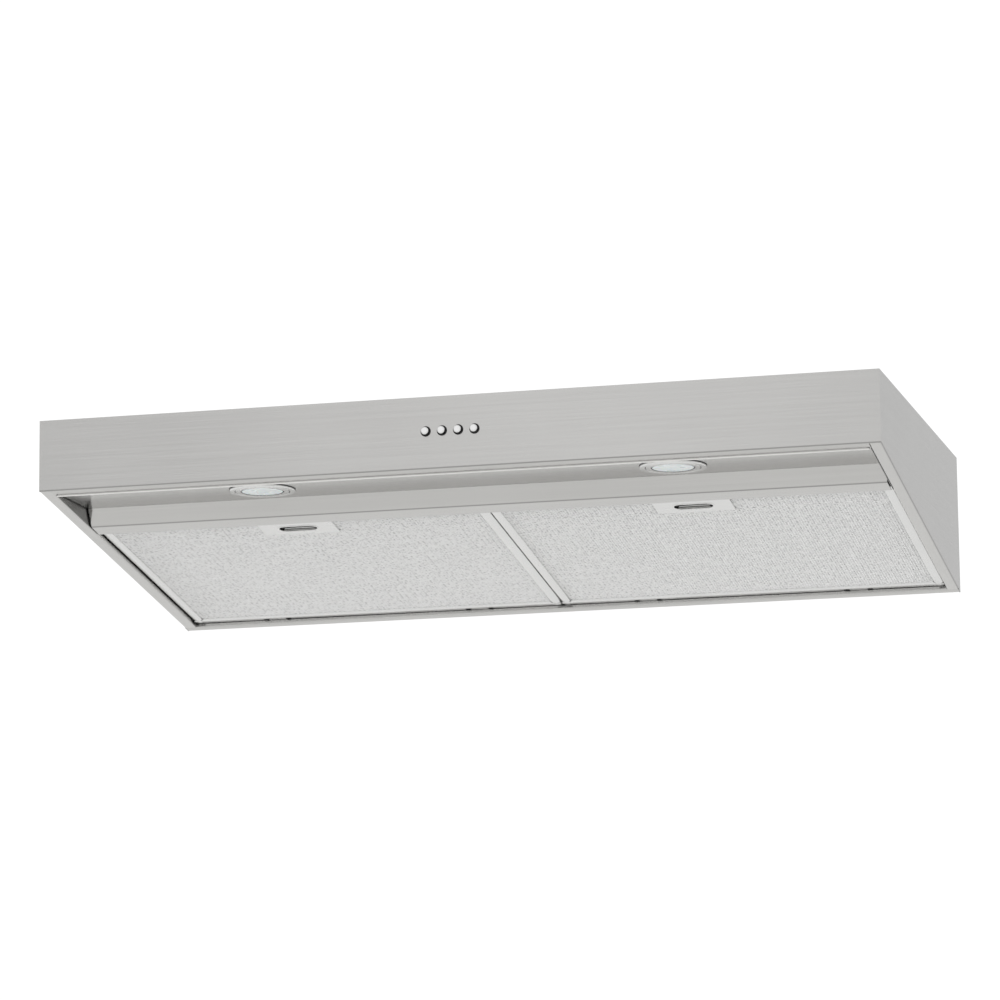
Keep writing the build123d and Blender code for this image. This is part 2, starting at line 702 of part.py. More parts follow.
def motor_bearings():
    """The two bearings the shaft turns in."""
    bearings = []
    for side in (-1, 1):
        seat = sorted((side * (MOTOR_HALF - 1.8), side * (MOTOR_HALF - 8.8)))
        outer = rod(BEARING_R, seat, SHAFT_DEPTH, SHAFT_Z)
        bore = (-MOTOR_HALF, MOTOR_HALF)
        bearings.append(outer - rod(SHAFT_R + SLIDE_GAP, bore, SHAFT_DEPTH, SHAFT_Z))
    return Compound([solid for bearing in bearings for solid in bearing.solids()])


def strap_screw_places():
    return [(0.0, SHAFT_DEPTH - STRAP_REACH), (0.0, SHAFT_DEPTH + STRAP_REACH)]


def motor_strap():
    """The strap under the motor that hangs it from the collar's base plate."""
    half = 14.0
    thick = STRAP_SHEET
    inner = MOTOR_R + 0.1
    loop = Plane.YZ.offset(-half) * Pos(SHAFT_DEPTH - DEPTH / 2, SHAFT_Z)
    outer_face = Circle(inner + thick) + Pos(0, 30) * Rectangle(2 * (inner + thick), 60)
    inner_face = Circle(inner) + Pos(0, 40) * Rectangle(2 * inner, 80)
    strap = extrude(loop * (outer_face - inner_face), amount=2 * half)
    top = -2 * SHEET
    foot = STRAP_REACH + 6.5
    for run in ((-foot, -inner), (inner, foot)):
        depths = (SHAFT_DEPTH + run[0], SHAFT_DEPTH + run[1])
        strap += block((-half, half), depths, (top - thick, top))
    strap -= block((-half - 1, half + 1), (SHAFT_DEPTH - 80, SHAFT_DEPTH + 80), (top, 20))
    for x, depth in strap_screw_places():
        strap -= post(SCREW_R, x, depth, (2 * top - thick, 0))
    return strap


def blower_screw_places():
    low, high = outlet_run()
    return [
        (side * x, depth)
        for side in (-1, 1)
        for x in (SCROLL_INNER_X + 15, SCROLL_OUTER_X - 15)
        for depth in (low - 6, high + 6)
    ]


def hanging_screw(x, depth, under_z):
    """A pan-head screw put up through a flange into the top panel."""
    shank = post(SCREW_R, x, depth, (under_z, 0))
    head = fillet(post(SCREW_HEAD_R, x, depth, (under_z - 2.2, under_z)).edges().group_by(Axis.Z)[0], 1.0)
    return shank + head


def panel_screws():
    """The screws that hang the scrolls and the motor's strap, and those of the rear duct cover."""
    screws = [hanging_screw(x, depth, -3 * SHEET) for x, depth in blower_screw_places()]
    screws += [hanging_screw(x, depth, -2 * SHEET - STRAP_SHEET) for x, depth in strap_screw_places()]
    inside = DEPTH - 2 * SHEET
    for x, z in cover_screw_places():
        shank = bar(SCREW_R, x, (inside, DEPTH), z)
        head = bar(SCREW_HEAD_R, x, (inside - 2.2, inside), z)
        screws.append(shank + fillet(head.edges().group_by(Axis.Y)[0], 1.0))
    return Compound([solid for screw in screws for solid in screw.solids()])


# ---- Duct collar ----------------------------------------------------------------------------------
def collar_run():
    return (OUTLET_MID - OUTLET_DEPTH / 2 - 0.5, OUTLET_MID + OUTLET_DEPTH / 2 + 0.5)


def duct_collar():
    """The spigot that the duct slides over, standing on a base plate under the top panel."""
    half = COLLAR_WIDTH / 2
    low, high = collar_run()
    wall = 1.0
    flange = 16.0
    collar = block((-half, half), (low, high), (-2 * SHEET, COLLAR_HEIGHT))
    collar -= block((wall - half, half - wall), (low + wall, high - wall), (-SHEET, COLLAR_HEIGHT + 1))
    collar += block((-half - flange, half + flange), COLLAR_BASE, (-2 * SHEET, -SHEET))
    for side in (-1, 1):
        collar -= block(outlet_span(side), outlet_run(), (-3 * SHEET, -SHEET))
    collar -= rod(PIN_R, (-half - 1, half + 1), low + pin_inset(), FLAP_Z)
    for x, depth in blower_screw_places() + strap_screw_places():
        collar -= post(SCREW_R, x, depth, (-3 * SHEET, 0))
    return collar


def pin_inset():
    return 5.0


def damper_pin():
    half = COLLAR_WIDTH / 2
    return rod(PIN_R, (-half, half), collar_run()[0] + pin_inset(), FLAP_Z)


def damper_flap():
    """The backdraught flap: a light plate rolled round its pin, lifted by the air."""
    half = COLLAR_WIDTH / 2 - 2.0
    low, high = collar_run()
    pin = low + pin_inset()
    flap = block((-half, half), (pin, high - 2.0), (FLAP_Z - 0.4, FLAP_Z + 0.4))
    for lift in (0.3, 0.7):
        rib = low + (high - low) * lift
        flap += block((12 - half, half - 12), (rib - 1.5, rib + 1.5), (FLAP_Z, FLAP_Z + 1.6))
    flap += rod(PIN_R + 1.1, (-half, half), pin, FLAP_Z)
    return flap - rod(PIN_R + SLIDE_GAP, (-half - 1, half + 1), pin, FLAP_Z)


# ---- Electrics ------------------------------------------------------------------------------------
def box_spans():
    x = (BOX_X - BOX_SIZE[0] / 2, BOX_X + BOX_SIZE[0] / 2)
    depth = (BOX_DEPTH - BOX_SIZE[1] / 2, BOX_DEPTH + BOX_SIZE[1] / 2)
    return x, depth, (-SHEET - BOX_SIZE[2], -SHEET)


def junction_box():
    """The wiring box under the top panel, open below, with entries for the leads."""
    x, depth, z = box_spans()
    wall = 1.0
    box = block(x, depth, z)
    inner_x = (x[0] + wall, x[1] - wall)
    inner_depth = (depth[0] + wall, depth[1] - wall)
    box -= block(inner_x, inner_depth, (z[0] - 1, z[1] - wall))
    box -= post(BUSHING_R, BOX_X, BOX_DEPTH, (z[1] - 2 * wall, z[1] + 1))
    for entry in (BOX_X - 20, BOX_X + 20):
        box -= bar(LEAD_R + 0.3, entry, (depth[0] - 1, depth[0] + 2 * wall), -20)
    return box


def junction_cover():
    """The box's cover, with an upturned edge inside the box."""
    x, depth, z = box_spans()
    wall = 1.0
    cover = block(x, depth, (z[0] - wall, z[0]))
    edge = wall + 0.2
    rim = block((x[0] + edge, x[1] - edge), (depth[0] + edge, depth[1] - edge), (z[0], z[0] + 6))
    rim -= block(
        (x[0] + 2 * edge, x[1] - 2 * edge), (depth[0] + 2 * edge, depth[1] - 2 * edge), (z[0] - 1, z[0] + 7)
    )
    return cover + rim


def terminal_block():
    """The screw terminals for the supply."""
    z = box_spans()[2][0]
    body = block((BOX_X - 22, BOX_X + 22), (BOX_DEPTH + 16, BOX_DEPTH + 34), (z + 7, z + 23))
    for place in range(4):
        x = BOX_X - 16.5 + 11 * place
        body -= post(3.0, x, BOX_DEPTH + 25, (z + 16, z + 24))
        body -= bar(2.2, x, (BOX_DEPTH + 15, BOX_DEPTH + 35), z + 12)
    return body


def cable_bushing():
    """The plastic bushing that lines the supply cable's hole."""
    bushing = post(BUSHING_R - SEAM, BOX_X, BOX_DEPTH, (-3 * SHEET, 0))
    bushing += post(BUSHING_RIM_R, BOX_X, BOX_DEPTH, (-SHEET, 0))
    bushing += post(BUSHING_R + 1.5, BOX_X, BOX_DEPTH, (-5 * SHEET, -2 * SHEET))
    return bushing - post(BUSHING_BORE_R, BOX_X, BOX_DEPTH, (-10, 10))


def capacitor():
    """The motor's run capacitor, lying on a saddle under the top panel."""
    depth = 300.0
    z = -SHEET - 18.0
    can = fillet(rod(15.0, (-262, -202), depth, z).edges(), 1.5)
    saddle = block((-242, -222), (depth - 12, depth + 12), (z + 8, -SHEET))
    return can + saddle


def switch_leads():
    """The lead from the switch block back to the junction box."""
    front = BOX_DEPTH - BOX_SIZE[1] / 2
    points = [
        (SWITCH_HALF + 0.1, 16, BUTTON_Z),
        (72, 16, BUTTON_Z),
        (130, 45, -27),
        (190, 110, -16),
        (240, 195, -14),
        (278, 285, -15),
        (BOX_X + 20, 362, -19),
        (BOX_X + 20, front + 3, -20),
    ]
    return lead(points, [38, 50, 80, 100, 90, 60])


def motor_leads():
    """The lead from the motor round the right-hand scroll to the junction box."""
    front = BOX_DEPTH - BOX_SIZE[1] / 2
    face = SHAFT_DEPTH - MOTOR_R - 0.2
    points = [
        (26, face, SHAFT_Z),
        (26, face - 24, SHAFT_Z),
        (60, face - 44, -44),
        (120, face - 46, -30),
        (180, face - 34, -26),
        (228, face - 6, -23),
        (BOX_X - 20, front - 26, -20),
        (BOX_X - 20, front + 3, -20),
    ]
    return lead(points, [16, 40, 60, 60, 45, 30])


def lamp_leads():
    """A lead from each lamp to the back of the switch block."""
    top = PANEL_Z + 30.0
    leads = []
    for side in (-1, 1):
        points = [
            (side * LAMP_X, LAMP_DEPTH, top),
            (side * LAMP_X, LAMP_DEPTH, top + 16),
            (side * (LAMP_X - 45), LAMP_DEPTH + 1, top + 20),
            (side * (LAMP_X - 100), LAMP_DEPTH, top + 4),
            (side * (LAMP_X - 155), LAMP_DEPTH + 2, top - 2),
            (side * (SWITCH_HALF - 4.5), LAMP_DEPTH - 2, BUTTON_Z),
            (side * (SWITCH_HALF - 4.5), SWITCH_REAR + 0.1, BUTTON_Z),
        ]
        leads.append(lead(points, [9, 40, 60, 30, 13]))
    return Compound([solid for piece in leads for solid in piece.solids()])


# ---- All pieces -----------------------------------------------------------------------------------
def build_pieces():
    """Every named piece of the hood."""
    pieces = {
        "front_panel": front_panel(),
        "top_panel": top_panel(),
        "back_panel": back_panel(),
        "rear_duct_cover": rear_duct_cover(),
        "light_panel": light_panel(),
        "lamp_clips": lamp_clips(),
        "switch_body": switch_body(),
        "switch_bracket": switch_bracket(),
        "motor_case": motor_case(),
        "motor_stator": motor_stator(),
        "motor_rotor": motor_rotor(),
        "motor_shaft": motor_shaft(),
        "motor_bearings": motor_bearings(),
        "motor_strap": motor_strap(),
        "panel_screws": panel_screws(),
        "duct_collar": duct_collar(),
        "damper_pin": damper_pin(),
        "damper_flap": damper_flap(),
        "junction_box": junction_box(),
        "junction_cover": junction_cover(),
        "terminal_block": terminal_block(),
        "cable_bushing": cable_bushing(),
        "capacitor": capacitor(),
        "switch_leads": switch_leads(),
        "motor_leads": motor_leads(),
        "lamp_leads": lamp_leads(),
    }
    for name, x in zip(BUTTON_NAMES, button_places()):
        pieces[name] = push_button(x)
        pieces[name + "_spring"] = button_spring(x)
    for side, x in (("left", -LAMP_X), ("right", LAMP_X)):
        pieces[side + "_lamp_bezel"] = lamp_bezel(x)
        pieces[side + "_lamp_lens"] = lamp_lens(x)
        pieces[side + "_lamp_body"] = lamp_body(x)
    handed = {
        "side_panel": right_side_panel,
        "end_cheek": right_end_cheek,
        "filter_frame": right_filter_frame,
        "filter_mesh": right_filter_mesh,
        "latch_plate": right_latch_plate,
        "filter_latch": right_latch,
        "latch_spring": right_latch_spring,
        "scroll": right_scroll,
        "inlet_ring": right_inlet_ring,
        "fan_wheel": right_fan_wheel,
    }
    for name, make in handed.items():
        piece = make()
        pieces["right_" + name] = piece
        pieces["left_" + name] = mirrored(piece)
    return pieces


os.makedirs("parts", exist_ok=True)
for name, piece in build_pieces().items():
    export_step(piece, os.path.join("parts", name + ".step"))
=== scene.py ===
import json
from math import cos, radians, sin

import bmesh
import bpy
from bpy.props import FloatProperty, FloatVectorProperty, IntProperty, PointerProperty
from mathutils import Matrix, Vector

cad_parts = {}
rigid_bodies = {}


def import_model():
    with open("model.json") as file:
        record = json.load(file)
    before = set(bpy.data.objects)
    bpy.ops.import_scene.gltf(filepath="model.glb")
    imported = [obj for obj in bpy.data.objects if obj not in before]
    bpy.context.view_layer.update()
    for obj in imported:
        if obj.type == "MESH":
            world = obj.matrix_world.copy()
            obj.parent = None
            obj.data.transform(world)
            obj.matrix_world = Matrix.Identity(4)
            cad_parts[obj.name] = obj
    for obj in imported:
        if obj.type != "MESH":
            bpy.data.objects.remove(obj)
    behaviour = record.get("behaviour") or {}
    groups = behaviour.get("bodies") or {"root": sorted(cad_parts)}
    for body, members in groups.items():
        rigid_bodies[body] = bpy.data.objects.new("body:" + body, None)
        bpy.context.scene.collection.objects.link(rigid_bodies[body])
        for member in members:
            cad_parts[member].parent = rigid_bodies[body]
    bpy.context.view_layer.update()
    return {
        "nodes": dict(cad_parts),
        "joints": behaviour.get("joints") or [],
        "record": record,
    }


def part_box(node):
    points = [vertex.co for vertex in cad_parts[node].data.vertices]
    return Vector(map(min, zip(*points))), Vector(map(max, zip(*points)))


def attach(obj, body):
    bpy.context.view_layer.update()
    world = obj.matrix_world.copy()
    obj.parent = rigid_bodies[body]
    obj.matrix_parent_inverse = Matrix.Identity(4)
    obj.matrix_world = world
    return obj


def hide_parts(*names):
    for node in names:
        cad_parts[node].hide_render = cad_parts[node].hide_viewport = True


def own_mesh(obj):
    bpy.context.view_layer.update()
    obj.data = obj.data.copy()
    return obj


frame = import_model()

bl_info = {
    "name": "Range Hood Finisher",
    "version": (1, 0, 0),
    "blender": (4, 5, 0),
    "location": "View3D > Sidebar > Range Hood",
    "description": "Builds the visible detail and finishes of an under cabinet range hood",
    "category": "Object",
}

SIDES = ("left", "right")
BUTTONS = ("light_button", "low_button", "medium_button", "high_button")
MM = 0.001
WELD = 0.001 * MM             # points closer than this are one
ACROSS = Vector((1, 0, 0))


# ---- Places read from the frame -------------------------------------------------------------------
UNDERSIDE = 0.2 * MM          # height above the slope under which a point is on a flat underside


def joint_named(name):
    """One joint of the frame."""
    return next(joint for joint in frame["joints"] if joint["name"] == name)


def slope_matrix():
    """Turns (x, distance down the slope, height square to it) into the frame's own coordinates.

    The slope's direction is that of a latch's slide, and it passes through the lower rear edge of
    the side panels. Its zero is below the front face.
    """
    down = Vector(joint_named("right_latch_slide")["axis"]).normalized()
    up = Vector((0, -down.z, down.y))
    side_low, side_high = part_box("right_side_panel")
    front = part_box("front_panel")[0].y
    drop = (side_high.y - front) * down.z / down.y
    origin = Vector((0, front, side_low.z - drop))
    turn = Matrix((ACROSS, down, up)).transposed().to_4x4()
    return Matrix.Translation(origin) @ turn


SLOPE = slope_matrix()


def slope_points(node):
    """The points of a CAD node in slope coordinates."""
    back = SLOPE.inverted()
    return [back @ vertex.co for vertex in frame["nodes"][node].data.vertices]


def slope_box(node):
    """The (lowest, highest) corners of a CAD node in slope coordinates."""
    points = slope_points(node)
    low = Vector(min(point[axis] for point in points) for axis in range(3))
    high = Vector(max(point[axis] for point in points) for axis in range(3))
    return low, high


def flat_start(node):
    """Distance down the slope at which a node's flat underside begins."""
    return min(point.y for point in slope_points(node) if point.z < UNDERSIDE)


# ---- Settings -------------------------------------------------------------------------------------
def length(name, description, default):
    return FloatProperty(name=name, description=description, default=default, unit="LENGTH", precision=5)


def colour(name, description, default):
    return FloatVectorProperty(
        name=name, description=description, default=default, size=3, subtype="COLOR", min=0, max=1
    )


class HoodSizes(bpy.types.PropertyGroup):
    """Sizes of the modelled detail."""

    rail_width: length("Rail width", "Width of a filter frame's rail", 10.5 * MM)
    rail_sheet: length("Rail sheet", "Thickness of the frame's aluminium", 0.6 * MM)
    rail_round: length("Rail round", "Radius of the rail's outer edge", 2.4 * MM)
    rail_nose: length("Rail nose", "Radius of the rail's inner edge", 1.0 * MM)
    rail_crown: length("Rail crown", "How far the rail's face bulges", 0.35 * MM)
    rail_return: length("Rail return", "Height of the rail's inner wall", 1.9 * MM)
    mitre_gap: length("Mitre gap", "Gap at the inner end of a mitre", 1.3 * MM)
    mesh_long: length("Mesh long way", "Length of one opening of the mesh", 5.88 * MM)
    mesh_short: length("Mesh short way", "Height of one opening of the mesh", 3.3 * MM)
    strand: length("Strand", "Radius of a strand of the mesh", 0.46 * MM)
    tab_width: length("Tab width", "Width of a filter's rear tab", 20 * MM)
    tab_offset: length("Tab offset", "From the filter's middle to a tab", 120 * MM)
    slot_length: length("Slot length", "Length of the finger slot", 42 * MM)
    slot_width: length("Slot width", "Width of the finger slot", 15 * MM)
    slot_rim: length("Slot rim", "Width of the pressed rim round the slot", 1.6 * MM)
    ring_width: length("Lamp ring width", "From a lamp ring's edge to its lens", 12.5 * MM)
    ring_groove: length("Lamp ring groove", "From a lamp ring's edge to its groove", 6.2 * MM)
    bead: length("Bead", "Radius of the rolled hem behind the lip", 1.65 * MM)
    ring_steps: IntProperty(name="Ring steps", description="Sides of a turned ring", default=96, min=24)


class HoodColours(bpy.types.PropertyGroup):
    """Colours of the finishes."""

    steel: colour("Stainless", "Brushed stainless sheet", (0.56, 0.555, 0.545))
    zinc: colour("Zinc", "Galvanised sheet", (0.50, 0.52, 0.53))
    plating: colour("Plating", "Zinc plated screws, pins and shafts", (0.62, 0.62, 0.60))
    wire: colour("Wire", "Spring wire", (0.42, 0.42, 0.43))
    aluminium: colour("Aluminium", "Bright rolled aluminium", (0.74, 0.74, 0.735))
    mesh: colour("Mesh", "Expanded aluminium mesh", (0.98, 0.98, 0.975))
    chrome: colour("Chrome", "Polished push buttons", (0.80, 0.80, 0.80))
    plastic: colour("Black plastic", "Switch block and bushing", (0.015, 0.015, 0.016))
    ivory: colour("Ivory nylon", "Terminal block", (0.74, 0.72, 0.64))
    case: colour("White case", "Capacitor", (0.76, 0.76, 0.73))
    sheath: colour("Sheath", "Sheaths of the leads", (0.12, 0.12, 0.125))
    lens: colour("Lens", "Frosted lamp glass", (0.80, 0.86, 0.87))
    cast: colour("Cast metal", "Lamp bodies", (0.60, 0.60, 0.60))
    enamel: colour("Enamel", "Motor case", (0.03, 0.03, 0.032))
    iron: colour("Iron", "Laminated stator and rotor", (0.22, 0.20, 0.19))
    backdrop: colour("Surroundings", "Plain pale surroundings", (1.0, 1.0, 1.0))
    floor: colour("Floor", "Plain pale floor", (0.96, 0.96, 0.95))


# ---- Material helpers -----------------------------------------------------------------------------
NOISE_LOW = 0.3               # most of a noise lies between these two values
NOISE_HIGH = 0.7


def shade(tone, share):
    """A colour made lighter or darker by a share."""
    return tuple(min(1.0, part * share) for part in tone)


class Finish:
    """A procedural material being built: nodes are added by kind and joined by socket name."""

    def __init__(self, name):
        self.material = bpy.data.materials.new(name)
        self.material.use_nodes = True
        self.tree = self.material.node_tree
        self.shader = self.tree.nodes["Principled BSDF"]
        self.place = self.add("ShaderNodeTexCoord").outputs["Object"]

    def add(self, kind, **settings):
        node = self.tree.nodes.new(kind)
        for key, value in settings.items():
            setattr(node, key, value)
        return node

    def link(self, output, socket):
        self.tree.links.new(output, socket)

    def feed(self, output, name):
        """Joins an output to a socket of the shader."""
        self.link(output, self.shader.inputs[name])

    def set(self, **values):
        """Sets plain values on the shader."""
        for name, value in values.items():
            self.shader.inputs[name.replace("_", " ")].default_value = value

    def stretched(self, scale):
        """Object coordinates, stretched so that a pattern's features are 1/scale metres long."""
        mapping = self.add("ShaderNodeMapping")
        mapping.inputs["Scale"].default_value = scale
        self.link(self.place, mapping.inputs["Vector"])
        return mapping.outputs["Vector"]

    def noise(self, scale, detail=3.0, roughness=0.5):
        """Soft noise, with one scale for each axis."""
        node = self.add("ShaderNodeTexNoise")
        node.inputs["Scale"].default_value = 1.0
        node.inputs["Detail"].default_value = detail
        node.inputs["Roughness"].default_value = roughness
        self.link(self.stretched(scale), node.inputs["Vector"])
        return node.outputs["Fac"]

    def cells(self, scale, **settings):
        """A pattern of cells, with one scale for each axis."""
        node = self.add("ShaderNodeTexVoronoi", **settings)
        node.inputs["Scale"].default_value = 1.0
        self.link(self.stretched(scale), node.inputs["Vector"])
        return node

    def spread(self, value, start, end, low=0.0, high=1.0):
        """A value from start to end, spread from low to high."""
        node = self.add("ShaderNodeMapRange")
        node.inputs["From Min"].default_value = start
        node.inputs["From Max"].default_value = end
        node.inputs["To Min"].default_value = low
        node.inputs["To Max"].default_value = high
        self.link(value, node.inputs["Value"])
        return node.outputs["Result"]

    def mixed(self, value, first, second):
        """A colour between two others."""
        node = self.add("ShaderNodeMix", data_type="RGBA")
        node.inputs["A"].default_value = (*first, 1)
        node.inputs["B"].default_value = (*second, 1)
        self.link(value, node.inputs["Factor"])
        return node.outputs["Result"]

    def painted_darker(self, colour_socket, dark, factor):
        """A colour, painted darker where the factor is 1: painted shade."""
        node = self.add("ShaderNodeMix", data_type="RGBA")
        self.link(colour_socket, node.inputs["A"])
        node.inputs["B"].default_value = (*dark, 1)
        self.link(factor, node.inputs["Factor"])
        return node.outputs["Result"]

    def total(self, first, second, share):
        """first plus share times second."""
        node = self.add("ShaderNodeMath", operation="MULTIPLY_ADD")
        node.inputs[1].default_value = share
        self.link(second, node.inputs[0])
        self.link(first, node.inputs[2])
        return node.outputs["Value"]

    def near_line(self, point, direction, reach):
        """1 on a line through a point, fading to 0 at a distance of reach."""
        offset = self.add("ShaderNodeVectorMath", operation="SUBTRACT")
        offset.inputs[1].default_value = point
        self.link(self.place, offset.inputs[0])
        across = self.add("ShaderNodeVectorMath", operation="CROSS_PRODUCT")
        across.inputs[1].default_value = direction
        self.link(offset.outputs["Vector"], across.inputs[0])
        distance = self.add("ShaderNodeVectorMath", operation="LENGTH")
        self.link(across.outputs["Vector"], distance.inputs[0])
        return self.spread(distance.outputs["Value"], reach / 2, reach, 1.0, 0.0)

    def tint(self, value, tone, first, second):
        """Colours the metal or plastic between two shades of a tone."""
        self.feed(self.mixed(value, shade(tone, first), shade(tone, second)), "Base Color")

    def roughen(self, value, low, high):
        """Varies the roughness with a noise."""
        self.feed(self.spread(value, NOISE_LOW, NOISE_HIGH, low, high), "Roughness")

    def bump(self, height, distance, strength):
        """Raises the surface with a pattern."""
        node = self.add("ShaderNodeBump")
        node.inputs["Distance"].default_value = distance
        node.inputs["Strength"].default_value = strength
        self.link(height, node.inputs["Height"])
        self.feed(node.outputs["Normal"], "Normal")


FINE_LINES = 1600.0           # brush lines to the metre, across and along the grain
FINE_ALONG = 9.0
COARSE_BANDS = 260.0
COARSE_ALONG = 2.5
CLOUDS = (7.0, 9.0, 9.0)
BAND_SHARE = 0.6
CLOUD_SHARE = 0.5
BEND_SHADE_REACH = 1.5 * MM          # reach of the painted shade line along a fold
# how dark the painted shade along a fold is, as a share of the steel's tone
BEND_SHADE = 0.6


def grained(along, wide, long):
    """Scales of a pattern that is drawn out along one axis."""
    return [long if axis == along else wide for axis in range(3)]


def brushed(name, tone, along, low=0.18, high=0.28, shaded_bends=()):
    """Brushed sheet: fine lines drawn out along one axis, faint broad clouding, and painted shade along folds.

    A fold is given by the point and the direction of its outer corner, where a dark line is painted as shade
    for the dark reflection that a fold shows.
    """
    finish = Finish(name)
    lines = finish.noise(grained(along, FINE_LINES, FINE_ALONG), detail=4.0, roughness=0.65)
    bands = finish.noise(grained(along, COARSE_BANDS, COARSE_ALONG), detail=2.0)
    clouds = finish.noise(CLOUDS, roughness=0.6)
    streaks = finish.total(lines, bands, BAND_SHARE)
    tones = finish.spread(finish.total(streaks, clouds, CLOUD_SHARE), 0.75, 1.35)
    metal = finish.mixed(tones, shade(tone, 0.95), shade(tone, 1.05))
    # Painted shade: a dark line along each fold stands for the dark reflection that the fold shows.
    for point, direction in shaded_bends:
        mark = finish.near_line(point, direction, BEND_SHADE_REACH)
        metal = finish.painted_darker(metal, shade(tone, BEND_SHADE), mark)
    finish.feed(metal, "Base Color")
    finish.roughen(lines, low, high)
    finish.bump(streaks, 0.02 * MM, 0.4)
    grain = finish.add("ShaderNodeCombineXYZ")
    grain.inputs[along].default_value = 1.0
    finish.feed(grain.outputs["Vector"], "Tangent")
    finish.set(Metallic=1.0, Anisotropic=0.75, Anisotropic_Rotation=0.25)
    return finish.material


def rolled_metal(name, tone, low=0.22, high=0.36):
    """Mill-finish metal: faint rolling marks and handling smears."""
    finish = Finish(name)
    marks = finish.noise((60.0, 900.0, 900.0))
    smears = finish.noise([18.0] * 3, detail=2.0)
    finish.tint(smears, tone, 0.94, 1.06)
    finish.roughen(smears, low, high)
    finish.bump(marks, 0.02 * MM, 0.4)
    finish.set(Metallic=1.0)
    return finish.material


def spangled_zinc(name, tone):
    """Galvanised sheet with its faint crystal spangle."""
    finish = Finish(name)
    grey = finish.add("ShaderNodeRGBToBW")
    finish.link(finish.cells([110.0] * 3).outputs["Color"], grey.inputs["Color"])
    spangle = grey.outputs["Val"]
    finish.tint(spangle, tone, 0.88, 1.10)
    finish.roughen(spangle, 0.36, 0.52)
    finish.bump(finish.noise([900.0] * 3, detail=2.0), 0.03 * MM, 0.3)
    finish.set(Metallic=0.9)
    return finish.material


def polished(name, tone, roughness=0.08):
    """Plated metal with the faintest polishing haze."""
    finish = Finish(name)
    haze = finish.noise([500.0] * 3, detail=4.0)
    finish.tint(haze, tone, 0.96, 1.03)
    finish.roughen(haze, roughness * 0.7, roughness * 1.6)
    finish.bump(haze, 0.004 * MM, 0.3)
    finish.set(Metallic=1.0)
    return finish.material


def moulded(name, tone, roughness):
    """Moulded plastic with a fine spark-eroded grain."""
    finish = Finish(name)
    pits = finish.noise([900.0] * 3, roughness=0.6)
    finish.tint(finish.noise([40.0] * 3, detail=2.0), tone, 0.88, 1.12)
    finish.roughen(pits, roughness - 0.08, roughness + 0.1)
    finish.bump(pits, 0.04 * MM, 0.5)
    return finish.material


def frosted_glass(name, tone):
    """Frosted lens: a milky body with fine stippling under a glossier skin."""
    finish = Finish(name)
    glow = finish.noise([60.0] * 3, detail=2.0)
    finish.tint(glow, tone, 0.93, 1.06)
    finish.roughen(glow, 0.22, 0.34)
    finish.bump(finish.cells([420.0] * 3).outputs["Distance"], 0.08 * MM, 0.2)
    finish.set(Coat_Weight=0.5, Coat_Roughness=0.12, Subsurface_Weight=0.15, Subsurface_Scale=4 * MM)
    return finish.material


def cast_metal(name, tone):
    """Die-cast alloy, slightly pebbled and matt."""
    finish = Finish(name)
    pebble = finish.noise([450.0] * 3, detail=4.0)
    finish.tint(pebble, tone, 0.9, 1.08)
    finish.roughen(pebble, 0.4, 0.55)
    finish.bump(pebble, 0.06 * MM, 0.6)
    finish.set(Metallic=0.9)
    return finish.material


def enamel(name, tone):
    """Stoved enamel with a little orange peel."""
    finish = Finish(name)
    dust = finish.noise([30.0] * 3, detail=5.0, roughness=0.7)
    finish.tint(dust, tone, 1.0, 1.5)
    finish.roughen(dust, 0.28, 0.45)
    finish.bump(finish.noise([260.0] * 3, detail=1.0), 0.06 * MM, 0.4)
    finish.set(Coat_Weight=0.3, Coat_Roughness=0.2)
    return finish.material


def mesh_layer(name, tone):
    """The inner layers of expanded mesh: diamond relief pressed in the sheet, with painted shade in its
    openings.
    """
    finish = Finish(name)
    cells = finish.cells((170.0, 300.0, 300.0), feature="DISTANCE_TO_EDGE")
    cells.inputs["Randomness"].default_value = 0.9
    openings = finish.spread(cells.outputs["Distance"], 0.05, 0.30)
    # Painted shade: the openings are darkened to 0.35 of the tone, standing for the shade seen through the
    # mesh.
    finish.tint(openings, tone, 1.0, 0.35)
    finish.roughen(openings, 0.3, 0.5)
    finish.bump(openings, 0.4 * MM, -0.6)
    finish.set(Metallic=1.0)
    return finish.material


def put_on(material, *objects):
    """Gives objects one material all over."""
    for obj in objects:
        obj.data.materials.clear()
        obj.data.materials.append(material)
        for face in obj.data.polygons:
            face.material_index = 0


# ---- Modelling helpers ----------------------------------------------------------------------------
def only(*objects):
    """Selects these objects and nothing else."""
    bpy.ops.object.select_all(action="DESELECT")
    for obj in objects:
        obj.select_set(True)
    bpy.context.view_layer.objects.active = objects[0]


def bake_place(obj):
    """Moves an object's place into its mesh."""
    obj.data.transform(obj.matrix_world)
    obj.matrix_world = Matrix.Identity(4)


def primitive(add, **settings):
    """Adds one of Blender's primitives, with its place in its mesh."""
    bpy.ops.object.select_all(action="DESELECT")
    add(**settings)
    obj = bpy.context.object
    bake_place(obj)
    return obj


def finish_piece(obj, name, body, material, smooth=35):
    """Names a modelled piece, bakes its place into its mesh and hands it to the frame."""
    obj.name = name
    obj.data.name = name
    bake_place(obj)
    only(obj)
    bpy.ops.object.shade_smooth_by_angle(angle=radians(smooth))
    put_on(material, obj)
    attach(obj, body)
    return obj


